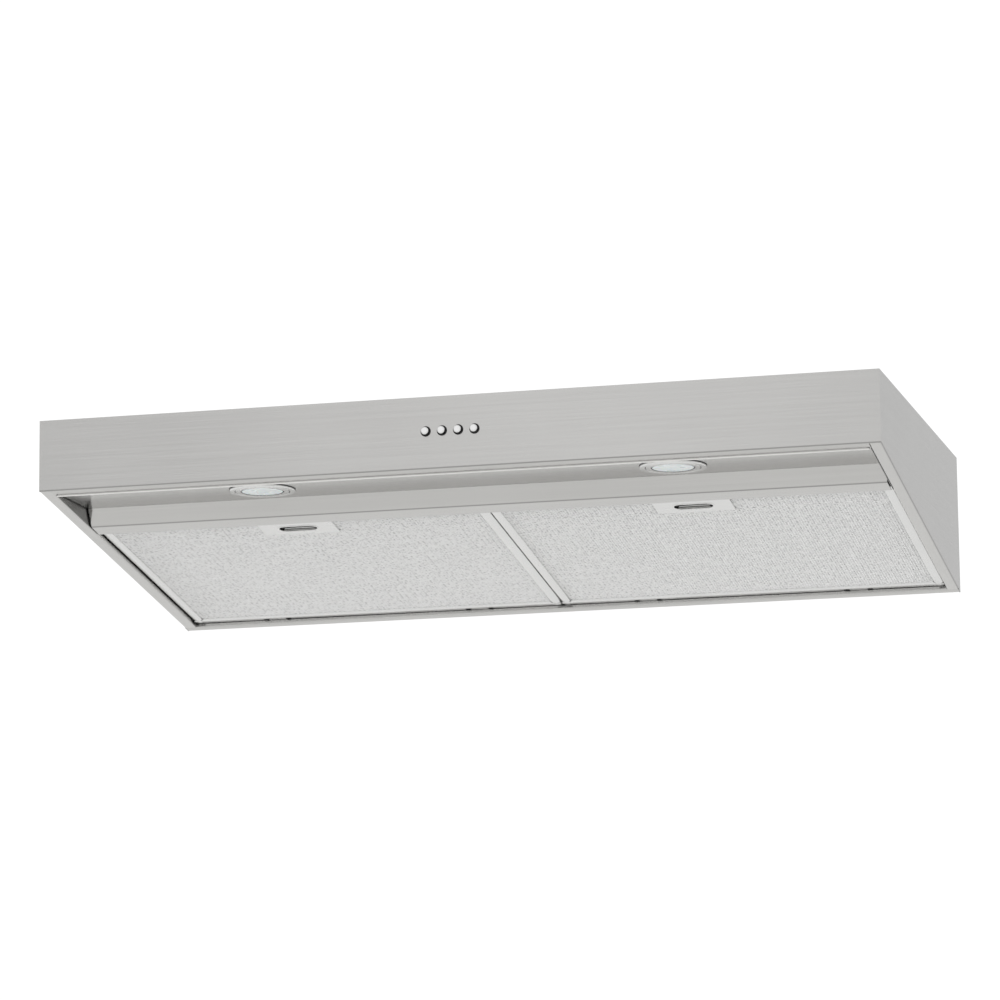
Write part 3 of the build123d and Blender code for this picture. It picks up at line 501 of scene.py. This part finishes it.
class Editing:
    """Edit mode on one object, with selection by a test on each element."""

    def __init__(self, obj):
        self.obj = obj

    def __enter__(self):
        only(self.obj)
        bpy.ops.object.mode_set(mode="EDIT")
        return self

    def __exit__(self, *error):
        bpy.ops.object.mode_set(mode="OBJECT")

    def pick(self, kind, test):
        """Selects the vertices, edges or faces that pass the test."""
        modes = {"VERT": "verts", "EDGE": "edges", "FACE": "faces"}
        bpy.ops.mesh.select_all(action="DESELECT")
        bpy.ops.mesh.select_mode(type=kind)
        mesh = bmesh.from_edit_mesh(self.obj.data)
        for element in getattr(mesh, modes[kind]):
            element.select_set(bool(test(element)))
        bmesh.update_edit_mesh(self.obj.data)

    def face_outward(self):
        """Turns every face outward."""
        bpy.ops.mesh.select_all(action="SELECT")
        bpy.ops.mesh.normals_make_consistent(inside=False)


def middle_of(face):
    """The centre of a face."""
    return sum((vertex.co for vertex in face.verts), Vector()) / len(face.verts)


def new_cube(low, high):
    """A cube between two corners."""
    low, high = Vector(low), Vector(high)
    return primitive(bpy.ops.mesh.primitive_cube_add, size=1, location=(low + high) / 2, scale=high - low)


def apply_modifier(obj, kind, **settings):
    """Adds a modifier and applies it."""
    only(obj)
    modifier = obj.modifiers.new(kind.title(), kind)
    for key, value in settings.items():
        setattr(modifier, key, value)
    bpy.ops.object.modifier_apply(modifier=modifier.name)


def drawn(points, along):
    """A sheet drawn from a path of points and pulled out along a vector."""
    obj = primitive(bpy.ops.mesh.primitive_plane_add, size=MM, location=points[0])
    with Editing(obj):
        bpy.ops.mesh.select_mode(type="VERT")
        bpy.ops.mesh.select_all(action="SELECT")
        bpy.ops.mesh.merge(type="CENTER")
        for start, end in zip(points, points[1:]):
            bpy.ops.mesh.extrude_vertices_move(TRANSFORM_OT_translate={"value": end - start})
        bpy.ops.mesh.select_all(action="SELECT")
        bpy.ops.mesh.extrude_edges_move(TRANSFORM_OT_translate={"value": along})
    return obj


def turned(profile, steps):
    """A ring turned about Z, its section drawn through (radius, height) points and closed."""
    radius, height = profile[0]
    obj = primitive(
        bpy.ops.mesh.primitive_circle_add, vertices=steps, radius=radius, location=(0, 0, height)
    )
    with Editing(obj) as edit:
        edit.pick("EDGE", lambda edge: True)
        for (r0, z0), (r1, z1) in zip(profile, profile[1:]):
            bpy.ops.mesh.extrude_edges_move(TRANSFORM_OT_translate={"value": (0, 0, z1 - z0)})
            grow = r1 / r0
            bpy.ops.transform.resize(value=(grow, grow, 1), center_override=(0, 0, z1))
        edit.pick("EDGE", lambda edge: edge.is_boundary)
        bpy.ops.mesh.bridge_edge_loops()
        edit.face_outward()
    return obj


def join(objects):
    """Makes several objects one."""
    only(*objects)
    bpy.ops.object.join()
    return bpy.context.object


def copied(obj):
    """A copy of an object with a mesh of its own."""
    twin = obj.copy()
    twin.data = obj.data.copy()
    bpy.context.collection.objects.link(twin)
    return twin


# ---- Finishes -------------------------------------------------------------------------------------
def both(name):
    """A node's name on the left and on the right."""
    return [side + "_" + name for side in SIDES]


FINISHED_NODES = {
    "stainless_front": ["front_panel"],
    "stainless_light": ["light_panel"],
    "stainless_x": ["top_panel", "back_panel"],
    "stainless_y": both("side_panel"),
    "cheek": both("end_cheek"),
    "zinc": [
        "rear_duct_cover", "switch_bracket", "motor_strap", "duct_collar", "junction_box",
        "junction_cover", *both("scroll"), *both("inlet_ring"),
    ],
    "plating": ["panel_screws", "damper_pin", "motor_shaft", "motor_bearings"],
    "wire": ["lamp_clips", *both("latch_spring"), *(button + "_spring" for button in BUTTONS)],
    "chrome": BUTTONS,
    "black": ["switch_body", "cable_bushing"],
    "ivory": ["terminal_block"],
    "white": ["capacitor"],
    "sheath": ["switch_leads", "motor_leads", "lamp_leads"],
    "lens": both("lamp_lens"),
    "cast": both("lamp_body"),
    "enamel": ["motor_case"],
    "iron": ["motor_stator", "motor_rotor"],
    "aluminium": ["damper_flap", *both("fan_wheel"), *both("filter_frame"), *both("latch_plate")],
    "mesh": both("filter_mesh"),
    "satin": both("filter_latch"),
    "ring": both("lamp_bezel"),
}


class HOOD_OT_finishes(bpy.types.Operator):
    """Gives every carried-over CAD node its finish"""

    bl_idname = "hood.finishes"
    bl_label = "Finish the CAD Nodes"

    def shaded_bends(self):
        """The folds of the front panel, of the light panel and of the two sides, where painted shade darkens
        the brushed finish.
        """
        down = SLOPE.col[1].to_3d()
        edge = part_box("right_side_panel")[1].x
        front = [(SLOPE @ Vector((0, 0, 0)), ACROSS)]
        ledge = [(SLOPE @ Vector((0, flat_start("light_panel"), 0)), ACROSS)]
        sides = [(SLOPE @ Vector((x, 0, 0)), down) for x in (-edge, edge)]
        return front, ledge, sides

    def finishes(self, tones):
        """Every finish of the CAD nodes, by a short name."""
        steel = tuple(tones.steel)
        front, ledge, sides = self.shaded_bends()
        return {
            "stainless_front": brushed("brushed_front", steel, 0, shaded_bends=front),
            "stainless_light": brushed("brushed_light_panel", steel, 0, 0.13, 0.19, shaded_bends=ledge),
            "stainless_x": brushed("brushed_stainless_x", steel, 0),
            # Painted shade: the end cheeks get the steel at 0.4 of its tone, standing for the shadow and dark
            # reflection on them.
            "cheek": brushed("cheek_painted_shade", shade(steel, 0.4), 1, 0.3, 0.42),
            "stainless_y": brushed("brushed_stainless_y", steel, 1, shaded_bends=sides),
            "zinc": spangled_zinc("galvanised_sheet", tones.zinc),
            "plating": polished("zinc_plating", tones.plating, 0.22),
            "wire": polished("spring_wire", tones.wire, 0.25),
            "chrome": polished("button_chrome", tones.chrome),
            "black": moulded("black_plastic", tones.plastic, 0.45),
            "ivory": moulded("ivory_nylon", tones.ivory, 0.42),
            "white": moulded("white_case", tones.case, 0.3),
            "sheath": moulded("grey_sheath", tones.sheath, 0.5),
            "lens": frosted_glass("frosted_lens", tones.lens),
            "cast": cast_metal("cast_housing", tones.cast),
            "enamel": enamel("black_enamel", tones.enamel),
            "iron": cast_metal("laminated_iron", tones.iron),
            "aluminium": rolled_metal("rolled_aluminium", tones.aluminium),
            "mesh": mesh_layer("mesh_layers", shade(tones.mesh, 0.95)),
            "ring": polished("lamp_ring", tones.aluminium, 0.12),
            "satin": brushed("satin_steel", shade(steel, 1.12), 0, 0.2, 0.3),
        }

    def execute(self, context):
        finishes = self.finishes(context.scene.hood_colours)
        for name, members in FINISHED_NODES.items():
            put_on(finishes[name], *[frame["nodes"][node] for node in members])
        return {"FINISHED"}


# ---- Filters --------------------------------------------------------------------------------------
CROWN_STEPS = 8
RAIL_LAP = 0.9 * MM           # how far the rear rail reaches past the mesh
TAB_SHEET = 1.0 * MM
TAB_RISE = 0.8 * MM           # from the frame's face up to a tab
TAB_LAP = 0.8 * MM            # how far a tab reaches under the rear rail
HOOK_SHEET = 0.8 * MM
HOOK_DROP = 1.8 * MM
STRIP_SHEET = 0.5 * MM
STRIP_RISE = 0.5 * MM         # from the frame's face up to a strip
STRIP_LAP = 0.4 * MM          # how far a strip reaches under the rear rail
STRIP_REACH = 4.2 * MM        # how far a strip reaches behind the rear rail
STRIP_INSET = 2 * MM          # from the frame's end to a strip's
STRIP_NOTCH = 6 * MM          # from a tab to the strip beside it


class HOOD_OT_filter_rails(bpy.types.Operator):
    """Rolls the channel rails of both filter frames, mitred at their corners"""

    bl_idname = "hood.filter_rails"
    bl_label = "Filter Rails"

    def section(self, sizes, height):
        """(distance in from the outer edge, height above the face) points of a rail."""
        width, bend, nose = sizes.rail_width, sizes.rail_round, sizes.rail_nose
        span = width - bend - nose
        points = [(0, height)]
        for degrees in range(0, 91, 15):
            turn = radians(degrees)
            points.append((bend - bend * cos(turn), bend - bend * sin(turn)))
        for step in range(1, CROWN_STEPS):
            share = step / CROWN_STEPS
            points.append((bend + span * share, -sizes.rail_crown * 4 * share * (1 - share)))
        for degrees in range(0, 91, 30):
            turn = radians(degrees)
            points.append((width - nose + nose * sin(turn), nose - nose * cos(turn)))
        points.append((width, sizes.rail_return))
        return points

    def rail(self, sizes, low, high, axis, outward):
        """One rail, drawn out along the side of the frame that faces outward on an axis."""
        run = 1 - axis
        outer = (low if outward < 0 else high)[axis]
        points = []
        for inset, rise in self.section(sizes, high.z - low.z):
            point = Vector((0, 0, low.z + rise))
            point[axis] = outer - outward * inset
            point[run] = low[run]
            points.append(point)
        along = Vector((0, 0, 0))
        along[run] = high[run] - low[run]
        obj = drawn(points, along)
        apply_modifier(obj, "SOLIDIFY", thickness=sizes.rail_sheet, offset=0)
        with Editing(obj) as edit:
            for end, sign in ((low[run], -1), (high[run], 1)):
                corner = Vector((0, 0, 0))
                corner[axis], corner[run] = outer, end
                normal = Vector((0, 0, 0))
                normal[axis] = -outward * (sizes.rail_width + sizes.mitre_gap)
                normal[run] = sign * sizes.rail_width
                bpy.ops.mesh.select_all(action="SELECT")
                bpy.ops.mesh.bisect(plane_co=corner, plane_no=normal, use_fill=True, clear_outer=True)
            edit.face_outward()
        return obj

    def tab_places(self, sizes, low, high):
        """X of the middle of each rear tab."""
        middle = (low.x + high.x) / 2
        return middle - sizes.tab_offset, middle + sizes.tab_offset

    def tabs(self, sizes, low, high, hook):
        """The two hooked tabs behind the rear rail."""
        pieces = []
        half = sizes.tab_width / 2
        base = low.z + TAB_RISE
        cut = hook - HOOK_SHEET
        for x in self.tab_places(sizes, low, high):
            tab = new_cube((x - half, high.y - TAB_LAP, base), (x + half, hook, base + TAB_SHEET))
            with Editing(tab) as edit:
                bpy.ops.mesh.select_all(action="SELECT")
                bpy.ops.mesh.bisect(plane_co=(0, cut, 0), plane_no=(0, 1, 0))
                edit.pick("FACE", lambda face: face.normal.z < -0.9 and middle_of(face).y > cut)
                bpy.ops.mesh.extrude_region_move(TRANSFORM_OT_translate={"value": (0, 0, -HOOK_DROP)})
                edit.face_outward()
            apply_modifier(tab, "BEVEL", width=0.15 * MM, segments=2)
            pieces.append(tab)
        return pieces

    def rear_strips(self, sizes, low, high):
        """Thin strips that close the slit behind the rear rail, open beside each tab."""
        pieces = []
        notch = sizes.tab_width / 2 + STRIP_NOTCH
        tabs = self.tab_places(sizes, low, high)
        starts = [low.x + STRIP_INSET] + [x + notch for x in tabs]
        ends = [x - notch for x in tabs] + [high.x - STRIP_INSET]
        base = low.z + STRIP_RISE
        for start, end in zip(starts, ends):
            corner = (end, high.y + STRIP_REACH, base + STRIP_SHEET)
            strip = new_cube((start, high.y - STRIP_LAP, base), corner)
            apply_modifier(strip, "BEVEL", width=0.12 * MM, segments=2)
            pieces.append(strip)
        return pieces

    def execute(self, context):
        sizes = context.scene.hood_sizes
        aluminium = rolled_metal("rail_aluminium", context.scene.hood_colours.aluminium, 0.16, 0.28)
        for hand in SIDES:
            node = hand + "_filter_frame"
            low, high = slope_box(node)
            hook = high.y
            high.y = slope_box(hand + "_filter_mesh")[1].y + RAIL_LAP
            low.z = slope_box(hand + "_latch_plate")[0].z
            sides = ((0, -1), (0, 1), (1, -1), (1, 1))
            pieces = [self.rail(sizes, low, high, axis, outward) for axis, outward in sides]
            pieces += self.tabs(sizes, low, high, hook)
            pieces += self.rear_strips(sizes, low, high)
            rails = join(pieces)
            rails.data.transform(SLOPE)
            finish_piece(
                rails, hand + "_filter_rails", hand + "_filter", aluminium
            )
            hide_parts(node)
        return {"FINISHED"}


STRAND_FLATNESS = 0.5         # height of a strand over its width
STRAND_LEAN = -20             # degrees that a strand leans over
STRAND_SINK = 0.7             # share of a strand's radius from its middle up to the mesh layers
STRAND_WELD = 0.02 * MM
FIELD_INSET = 1.0 * MM        # from the mesh's edge to the strands
PLATE_LAP = 0.2 * MM          # from the latch plate's rear edge to the strands behind it


class HOOD_OT_filter_strands(bpy.types.Operator):
    """Stretches the face layer of expanded mesh across both filters"""

    bl_idname = "hood.filter_strands"
    bl_label = "Expanded Mesh"

    def pair(self, sizes):
        """One opening's length of two neighbouring strands, zigzagging against each other."""
        half, rise = sizes.mesh_long / 2, sizes.mesh_short / 4
        strands = []
        for row, sign in ((0, 1), (1, -1)):
            start = (0, row * sizes.mesh_short / 2 + sign * rise, 0)
            strand = primitive(
                bpy.ops.mesh.primitive_circle_add,
                vertices=3,
                radius=sizes.strand,
                fill_type="NGON",
                location=start,
                rotation=(0, radians(90), 0),
            )
            with Editing(strand) as edit:
                bpy.ops.mesh.select_all(action="SELECT")
                bpy.ops.transform.resize(value=(1, 1, STRAND_FLATNESS), center_override=start)
                lean = radians(STRAND_LEAN)
                bpy.ops.transform.rotate(value=lean, orient_axis="X", center_override=start)
                for step in (-sign, sign):
                    move = {"value": (half, step * 2 * rise, 0)}
                    bpy.ops.mesh.extrude_region_move(TRANSFORM_OT_translate=move)
                edit.pick("FACE", lambda face: abs(face.normal.x) > 0.99)
                bpy.ops.mesh.delete(type="ONLY_FACE")
            strands.append(strand)
        return join(strands)

    def repeated(self, obj, count, step, **settings):
        """Repeats an object in a row."""
        apply_modifier(
            obj,
            "ARRAY",
            count=count,
            constant_offset_displace=step,
            use_relative_offset=False,
            use_constant_offset=True,
            **settings,
        )

    def field(self, sizes, low, high, lift):
        """Strands over one rectangle, their ends closed."""
        columns = int((high.x - low.x) / sizes.mesh_long)
        rows = int((high.y - low.y) / sizes.mesh_short)
        obj = self.pair(sizes)
        step = (sizes.mesh_long, 0, 0)
        self.repeated(obj, columns, step, use_merge_vertices=True, merge_threshold=STRAND_WELD)
        with Editing(obj) as edit:
            edit.pick("EDGE", lambda edge: edge.is_boundary)
            bpy.ops.mesh.fill_holes(sides=3)
            edit.face_outward()
        spare = high.x - low.x - columns * sizes.mesh_long
        obj.data.transform(Matrix.Translation((low.x + spare / 2, low.y + sizes.mesh_short / 4, lift)))
        self.repeated(obj, rows, (0, sizes.mesh_short, 0))
        return obj

    def execute(self, context):
        sizes = context.scene.hood_sizes
        metal = polished("strand_aluminium", context.scene.hood_colours.mesh, 0.3)
        for hand in SIDES:
            low, high = slope_box(hand + "_filter_mesh")
            plate_low, plate_high = slope_box(hand + "_latch_plate")
            lift = low.z - sizes.strand * STRAND_SINK
            front = plate_low.y - FIELD_INSET
            rear = plate_high.y + PLATE_LAP
            left, right = low.x + FIELD_INSET, high.x - FIELD_INSET
            fields = (
                (Vector((left, front, 0)), Vector((plate_low.x, rear, 0))),
                (Vector((plate_high.x, front, 0)), Vector((right, rear, 0))),
                (Vector((left, rear, 0)), Vector((right, high.y - FIELD_INSET, 0))),
            )
            mesh = join([self.field(sizes, start, end, lift) for start, end in fields])
            mesh.data.transform(SLOPE)
            finish_piece(
                mesh, hand + "_filter_strands", hand + "_filter", metal, smooth=10
            )
        return {"FINISHED"}


SLOT_INSET = 3.0 * MM         # from the latch's rear edge to the slot
RIM_SIDES = 48
RIM_SHEET = 0.3 * MM
RIM_STEP = 0.33               # share of the rim's width that each step adds
RIM_ENDS = 0.36               # share of a step's growth across the slot that it has along the slot
RIM_DROPS = (0.35 * MM, 0.0, -0.35 * MM)
LIP_INSET = 4.2 * MM          # from the slot's end to the lip's
LIP_TOP = 2.6 * MM            # from the slot's rear edge to the lip's upper edge
LIP_CURL = (                  # from the slot's rear edge, and up from the latch's lowest face
    (2.5 * MM, 2.2 * MM),
    (2.2 * MM, 1.2 * MM),
    (1.5 * MM, 0.5 * MM),
    (0.6 * MM, 0.2 * MM),
)


class HOOD_OT_finger_slots(bpy.types.Operator):
    """Presses a rim round each finger slot and curls each latch's finger lip"""

    bl_idname = "hood.finger_slots"
    bl_label = "Finger Slots"

    def rim(self, sizes, centre):
        """A rounded rim that follows the slot's edge."""
        radius = sizes.slot_width / 2
        reach = (sizes.slot_length - sizes.slot_width) / 2
        grow = sizes.slot_rim / radius * RIM_STEP
        obj = primitive(bpy.ops.mesh.primitive_circle_add, vertices=RIM_SIDES, radius=radius, location=centre)
        with Editing(obj) as edit:
            for side in (-1, 1):
                edit.pick("VERT", lambda vertex: (vertex.co.x - centre.x) * side > WELD)
                bpy.ops.transform.translate(value=(side * reach, 0, 0))
            edit.pick("EDGE", lambda edge: True)
            for drop in RIM_DROPS:
                bpy.ops.mesh.extrude_edges_move(TRANSFORM_OT_translate={"value": (0, 0, -drop)})
                size = (1 + grow * RIM_ENDS, 1 + grow, 1)
                bpy.ops.transform.resize(value=size, center_override=tuple(centre))
        apply_modifier(obj, "SOLIDIFY", thickness=RIM_SHEET, offset=0)
        with Editing(obj) as edit:
            edit.face_outward()
        return obj

    def lip(self, sizes, centre, low, high):
        """The latch's lip at the rear of the slot, curled for the fingertip."""
        half = sizes.slot_length / 2 - LIP_INSET
        rear = centre.y + sizes.slot_width / 2
        points = [Vector((centre.x - half, rear - LIP_TOP, high))]
        points += [Vector((centre.x - half, rear - inset, low + rise)) for inset, rise in LIP_CURL]
        obj = drawn(points, Vector((2 * half, 0, 0)))
        apply_modifier(obj, "SOLIDIFY", thickness=0.5 * MM, offset=0)
        apply_modifier(obj, "BEVEL", width=0.1 * MM, segments=2)
        return obj

    def execute(self, context):
        sizes = context.scene.hood_sizes
        bright = rolled_metal("pressed_aluminium", context.scene.hood_colours.aluminium, 0.2, 0.3)
        for hand in SIDES:
            low, high = slope_box(hand + "_filter_latch")
            face = slope_box(hand + "_latch_plate")[0].z
            middle = high.y - SLOT_INSET - sizes.slot_width / 2
            centre = Vector(((low.x + high.x) / 2, middle, face))
            rim = self.rim(sizes, centre)
            rim.data.transform(SLOPE)
            finish_piece(rim, hand + "_slot_rim", hand + "_filter", bright)
            lip = self.lip(sizes, centre, low.z, high.z)
            lip.data.transform(SLOPE)
            finish_piece(lip, hand + "_finger_lip", hand + "_latch", bright)
        return {"FINISHED"}


# ---- Springs --------------------------------------------------------------------------------------
class HOOD_OT_springs(bpy.types.Operator):
    """Replaces the button and latch springs with welded copies of their coils, carried by their joints'
    parents
    """

    bl_idname = "hood.springs"
    bl_label = "Springs"

    def spring(self, joint, node, wire):
        """A welded copy of the spring's coil, in place of the CAD node."""
        coil = copied(frame["nodes"][node])
        with Editing(coil):
            bpy.ops.mesh.select_all(action="SELECT")
            bpy.ops.mesh.remove_doubles(threshold=WELD)
        finish_piece(coil, node + "_coil", joint["parent"], wire)
        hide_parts(node)
        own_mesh(coil)

    def execute(self, context):
        wire = polished("bright_wire", context.scene.hood_colours.wire, 0.25)
        for joint in frame["record"]["behaviour"]["joints"]:
            for row in joint.get("deforming_nodes", []):
                self.spring(joint, row["node"], wire)
        return {"FINISHED"}


# ---- Front lip and lamps --------------------------------------------------------------------------
HEM_SHEET = 0.3 * MM
HEM_INSET = 14.8 * MM         # from the front panel's end to the hem's
HEM_SEAT = 1.6 * MM           # from the lip's rear edge and from its lowest to the hem's middle


class HOOD_OT_lip_bead(bpy.types.Operator):
    """Rolls the hem behind the front lip, its steel painted lighter as a painted highlight"""

    bl_idname = "hood.lip_bead"
    bl_label = "Lip Bead"

    def execute(self, context):
        radius = context.scene.hood_sizes.bead
        low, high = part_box("front_panel")
        half = high.x - HEM_INSET
        centre = Vector((0, high.y - HEM_SEAT, low.z + HEM_SEAT))
        points = []
        for degrees in range(-60, 241, 20):
            turn = radians(degrees)
            points.append(centre + Vector((-half, radius * sin(turn), -radius * cos(turn))))
        hem = drawn(points, Vector((2 * half, 0, 0)))
        apply_modifier(hem, "SOLIDIFY", thickness=HEM_SHEET, offset=-1)
        # Painted highlight: the hem's steel is painted 1.45 times lighter than the panel's, standing for the
        # light that the rolled edge catches.
        tone = shade(context.scene.hood_colours.steel, 1.45)
        bright = brushed("hem_painted_highlight", tone, 0, 0.2, 0.3)
        finish_piece(hem, "lip_bead", "canopy", bright)
        return {"FINISHED"}


EASE = 0.1 * MM               # of a ring's lower outer edge
# Three thin black rings are painted shade. One shows round each lamp ring where it meets the panel, one lies
# in the ring's groove, and one goes round the lens.
SHADE_RING_LAP = 3 * MM           # how far the dark ring under the lamp ring reaches in under it
SHADE_RING_PROUD = 0.25 * MM      # how far that dark ring shows round the lamp ring
SHADE_RING_SHEET = 0.7 * MM
LENS_SHADE_RING = (-0.4 * MM, 0.3 * MM)      # inner and outer edge, from the lens opening's
LENS_SHADE_RING_PROUD = 0.25 * MM
GROOVE_HALF = 0.5 * MM
GROOVE_DEPTH = 0.25 * MM
SHADE_RING_HEIGHT = 1 * MM          # how far the dark rings reach up from the face that they are in
LEDGE_DEPTH = 30 * MM         # the light panel's flat part reaches back at least this far


class HOOD_OT_lamp_painted_shade_rings(bpy.types.Operator):
    """Puts thin black rings round each lamp ring, in its groove and round its lens: painted shade at these
    edges
    """

    bl_idname = "hood.lamp_gaskets"
    bl_label = "Lamp Painted Shade Rings"

    def panel_height(self):
        """Height of the flat part of the light panel, where the rings sit."""
        points = [vertex.co for vertex in frame["nodes"]["light_panel"].data.vertices]
        front = min(point.y for point in points)
        return min(point.z for point in points if point.y < front + LEDGE_DEPTH)

    def ring(self, sizes, inner, outer, top, bottom):
        """A flat ring with an eased lower outer edge."""
        section = [(inner, top), (outer, top), (outer, bottom + EASE), (outer - EASE, bottom), (inner, bottom)]
        return turned(section, sizes.ring_steps)

    def shade_rings(self, sizes, hand):
        """The three black rings of painted shade of one lamp, about Z."""
        low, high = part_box(hand + "_lamp_bezel")
        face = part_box(hand + "_lamp_lens")[0].z
        panel = self.panel_height()
        radius = (high.x - low.x) / 2
        opening = radius - sizes.ring_width
        groove = radius - sizes.ring_groove
        lens_inner, lens_outer = (opening + reach for reach in LENS_SHADE_RING)
        rings = [
            self.ring(sizes, radius - SHADE_RING_LAP, radius + SHADE_RING_PROUD, panel, panel - SHADE_RING_SHEET),
            self.ring(sizes, lens_inner, lens_outer, face + SHADE_RING_HEIGHT, face - LENS_SHADE_RING_PROUD),
            self.ring(
                sizes, groove - GROOVE_HALF, groove + GROOVE_HALF, low.z + SHADE_RING_HEIGHT, low.z + GROOVE_DEPTH
            ),
        ]
        shade_rings = join(rings)
        shade_rings.data.transform(Matrix.Translation(((low.x + high.x) / 2, (low.y + high.y) / 2, 0)))
        return shade_rings

    def execute(self, context):
        sizes = context.scene.hood_sizes
        # Black plastic for the rings of painted shade.
        rubber = moulded("gasket_rubber", context.scene.hood_colours.plastic, 0.6)
        for hand in SIDES:
            shade_rings = self.shade_rings(sizes, hand)
            finish_piece(shade_rings, hand + "_lamp_gasket", "canopy", rubber)
        return {"FINISHED"}


# ---- Stage ----------------------------------------------------------------------------------------
FLOOR_HEIGHT = -3.2           # metres, low enough to look up at the hood from below
FLOOR_SIZE = 40
SKY_STRENGTH = 1.06
LENS = 165.1                  # millimetres
CLIP_END = 60.0
EYE = (1.20845, -4.74016, -0.96334)
EYE_TURN = (-0.1791, -0.0331, -0.2522)  # axis of the turn that would square the camera, as long as its angle
WALLS = (                     # bearing in degrees from straight behind the hood, brightness of the walls
    (-178, 0.74),
    (-171, 0.84),
    (-166, 1.0),
    (-160, 0.76),
    (-148, 0.80),
    (-100, 0.95),
    (-30, 1.0),
    (-7, 1.0),
    (3, 0.62),
    (35, 0.62),
    (70, 0.92),
    (120, 0.95),
    (178, 0.74),
)


class HOOD_OT_stage(bpy.types.Operator):
    """Adds the floor, the soft light and the camera"""

    bl_idname = "hood.stage"
    bl_label = "Stage"

    def floor(self, tone):
        """A plain matt floor."""
        bpy.ops.object.select_all(action="DESELECT")
        bpy.ops.mesh.primitive_plane_add(size=FLOOR_SIZE, location=(0, 0, FLOOR_HEIGHT))
        floor = bpy.context.object
        floor.name = "floor"
        matt = Finish("floor_paint")
        matt.tint(matt.noise([3.0] * 3, detail=4.0), tone, 0.99, 1.0)
        matt.set(Roughness=0.9)
        put_on(matt.material, floor)

    def surroundings(self, tone):
        """Pale walls, darker behind the hood towards the right and in front; the camera sees them plain."""
        world = bpy.data.worlds.new("surroundings")
        world.use_nodes = True
        tree = world.node_tree
        place = tree.nodes.new("ShaderNodeTexCoord")
        split = tree.nodes.new("ShaderNodeSeparateXYZ")
        tree.links.new(place.outputs["Generated"], split.inputs["Vector"])
        bearing = tree.nodes.new("ShaderNodeMath")
        bearing.operation = "ARCTAN2"
        tree.links.new(split.outputs["X"], bearing.inputs[0])
        tree.links.new(split.outputs["Y"], bearing.inputs[1])
        share = tree.nodes.new("ShaderNodeMapRange")
        share.inputs["From Min"].default_value = radians(-180)
        share.inputs["From Max"].default_value = radians(180)
        tree.links.new(bearing.outputs["Value"], share.inputs["Value"])
        walls = tree.nodes.new("ShaderNodeValToRGB")
        tree.links.new(share.outputs["Result"], walls.inputs["Fac"])
        stops = walls.color_ramp.elements
        walls.color_ramp.interpolation = "EASE"
        for degrees, level in WALLS:
            stops.new((degrees + 180) / 360).color = (*shade(tone, level), 1)
        for end in (stops[0], stops[-1]):
            end.color = (*shade(tone, WALLS[0][1]), 1)
        path = tree.nodes.new("ShaderNodeLightPath")
        plain = tree.nodes.new("ShaderNodeMix")
        plain.data_type = "RGBA"
        tree.links.new(path.outputs["Is Camera Ray"], plain.inputs["Factor"])
        tree.links.new(walls.outputs["Color"], plain.inputs["A"])
        plain.inputs["B"].default_value = (*tone, 1)
        sky = tree.nodes["Background"]
        sky.inputs["Strength"].default_value = SKY_STRENGTH
        tree.links.new(plain.outputs["Result"], sky.inputs["Color"])
        return world

    def camera(self, context):
        """A long lens, low and to the right of the hood, looking slightly up at its underside."""
        data = bpy.data.cameras.new("camera")
        data.sensor_width = 36.0
        data.lens = LENS
        data.clip_end = CLIP_END
        eye = bpy.data.objects.new("camera", data)
        turn = Vector(EYE_TURN)
        right, forward, up = Matrix.Rotation(turn.length, 3, turn.normalized())
        basis = Matrix((right, up, -forward)).transposed().to_4x4()
        eye.matrix_world = Matrix.Translation(EYE) @ basis
        context.collection.objects.link(eye)
        context.scene.camera = eye

    def execute(self, context):
        tones = context.scene.hood_colours
        self.floor(tones.floor)
        context.scene.world = self.surroundings(tones.backdrop)
        context.scene.view_settings.view_transform = "Standard"
        self.camera(context)
        return {"FINISHED"}


# ---- Add-on ---------------------------------------------------------------------------------------
OPERATORS = (
    HOOD_OT_finishes,
    HOOD_OT_filter_rails,
    HOOD_OT_filter_strands,
    HOOD_OT_finger_slots,
    HOOD_OT_springs,
    HOOD_OT_lip_bead,
    HOOD_OT_lamp_painted_shade_rings,
    HOOD_OT_stage,
)


class HOOD_PT_sidebar(bpy.types.Panel):
    """Lists the hood's settings and the steps that build it"""

    bl_idname = "HOOD_PT_sidebar"
    bl_label = "Range Hood"
    bl_space_type = "VIEW_3D"
    bl_region_type = "UI"
    bl_category = "Range Hood"

    def draw(self, context):
        for group in (context.scene.hood_sizes, context.scene.hood_colours):
            box = self.layout.box()
            for name in group.__annotations__:
                box.prop(group, name)
        for operator in OPERATORS:
            self.layout.operator(operator.bl_idname)


CLASSES = (HoodSizes, HoodColours, *OPERATORS, HOOD_PT_sidebar)


def register():
    for kind in CLASSES:
        bpy.utils.register_class(kind)
    bpy.types.Scene.hood_sizes = PointerProperty(type=HoodSizes)
    bpy.types.Scene.hood_colours = PointerProperty(type=HoodColours)


def unregister():
    del bpy.types.Scene.hood_colours
    del bpy.types.Scene.hood_sizes
    for kind in reversed(CLASSES):
        bpy.utils.unregister_class(kind)


def main():
    register()
    bpy.ops.hood.finishes()
    bpy.ops.hood.filter_rails()
    bpy.ops.hood.filter_strands()
    bpy.ops.hood.finger_slots()
    bpy.ops.hood.springs()
    bpy.ops.hood.lip_bead()
    bpy.ops.hood.lamp_gaskets()
    bpy.ops.hood.stage()


if __name__ == "__main__":
    main()
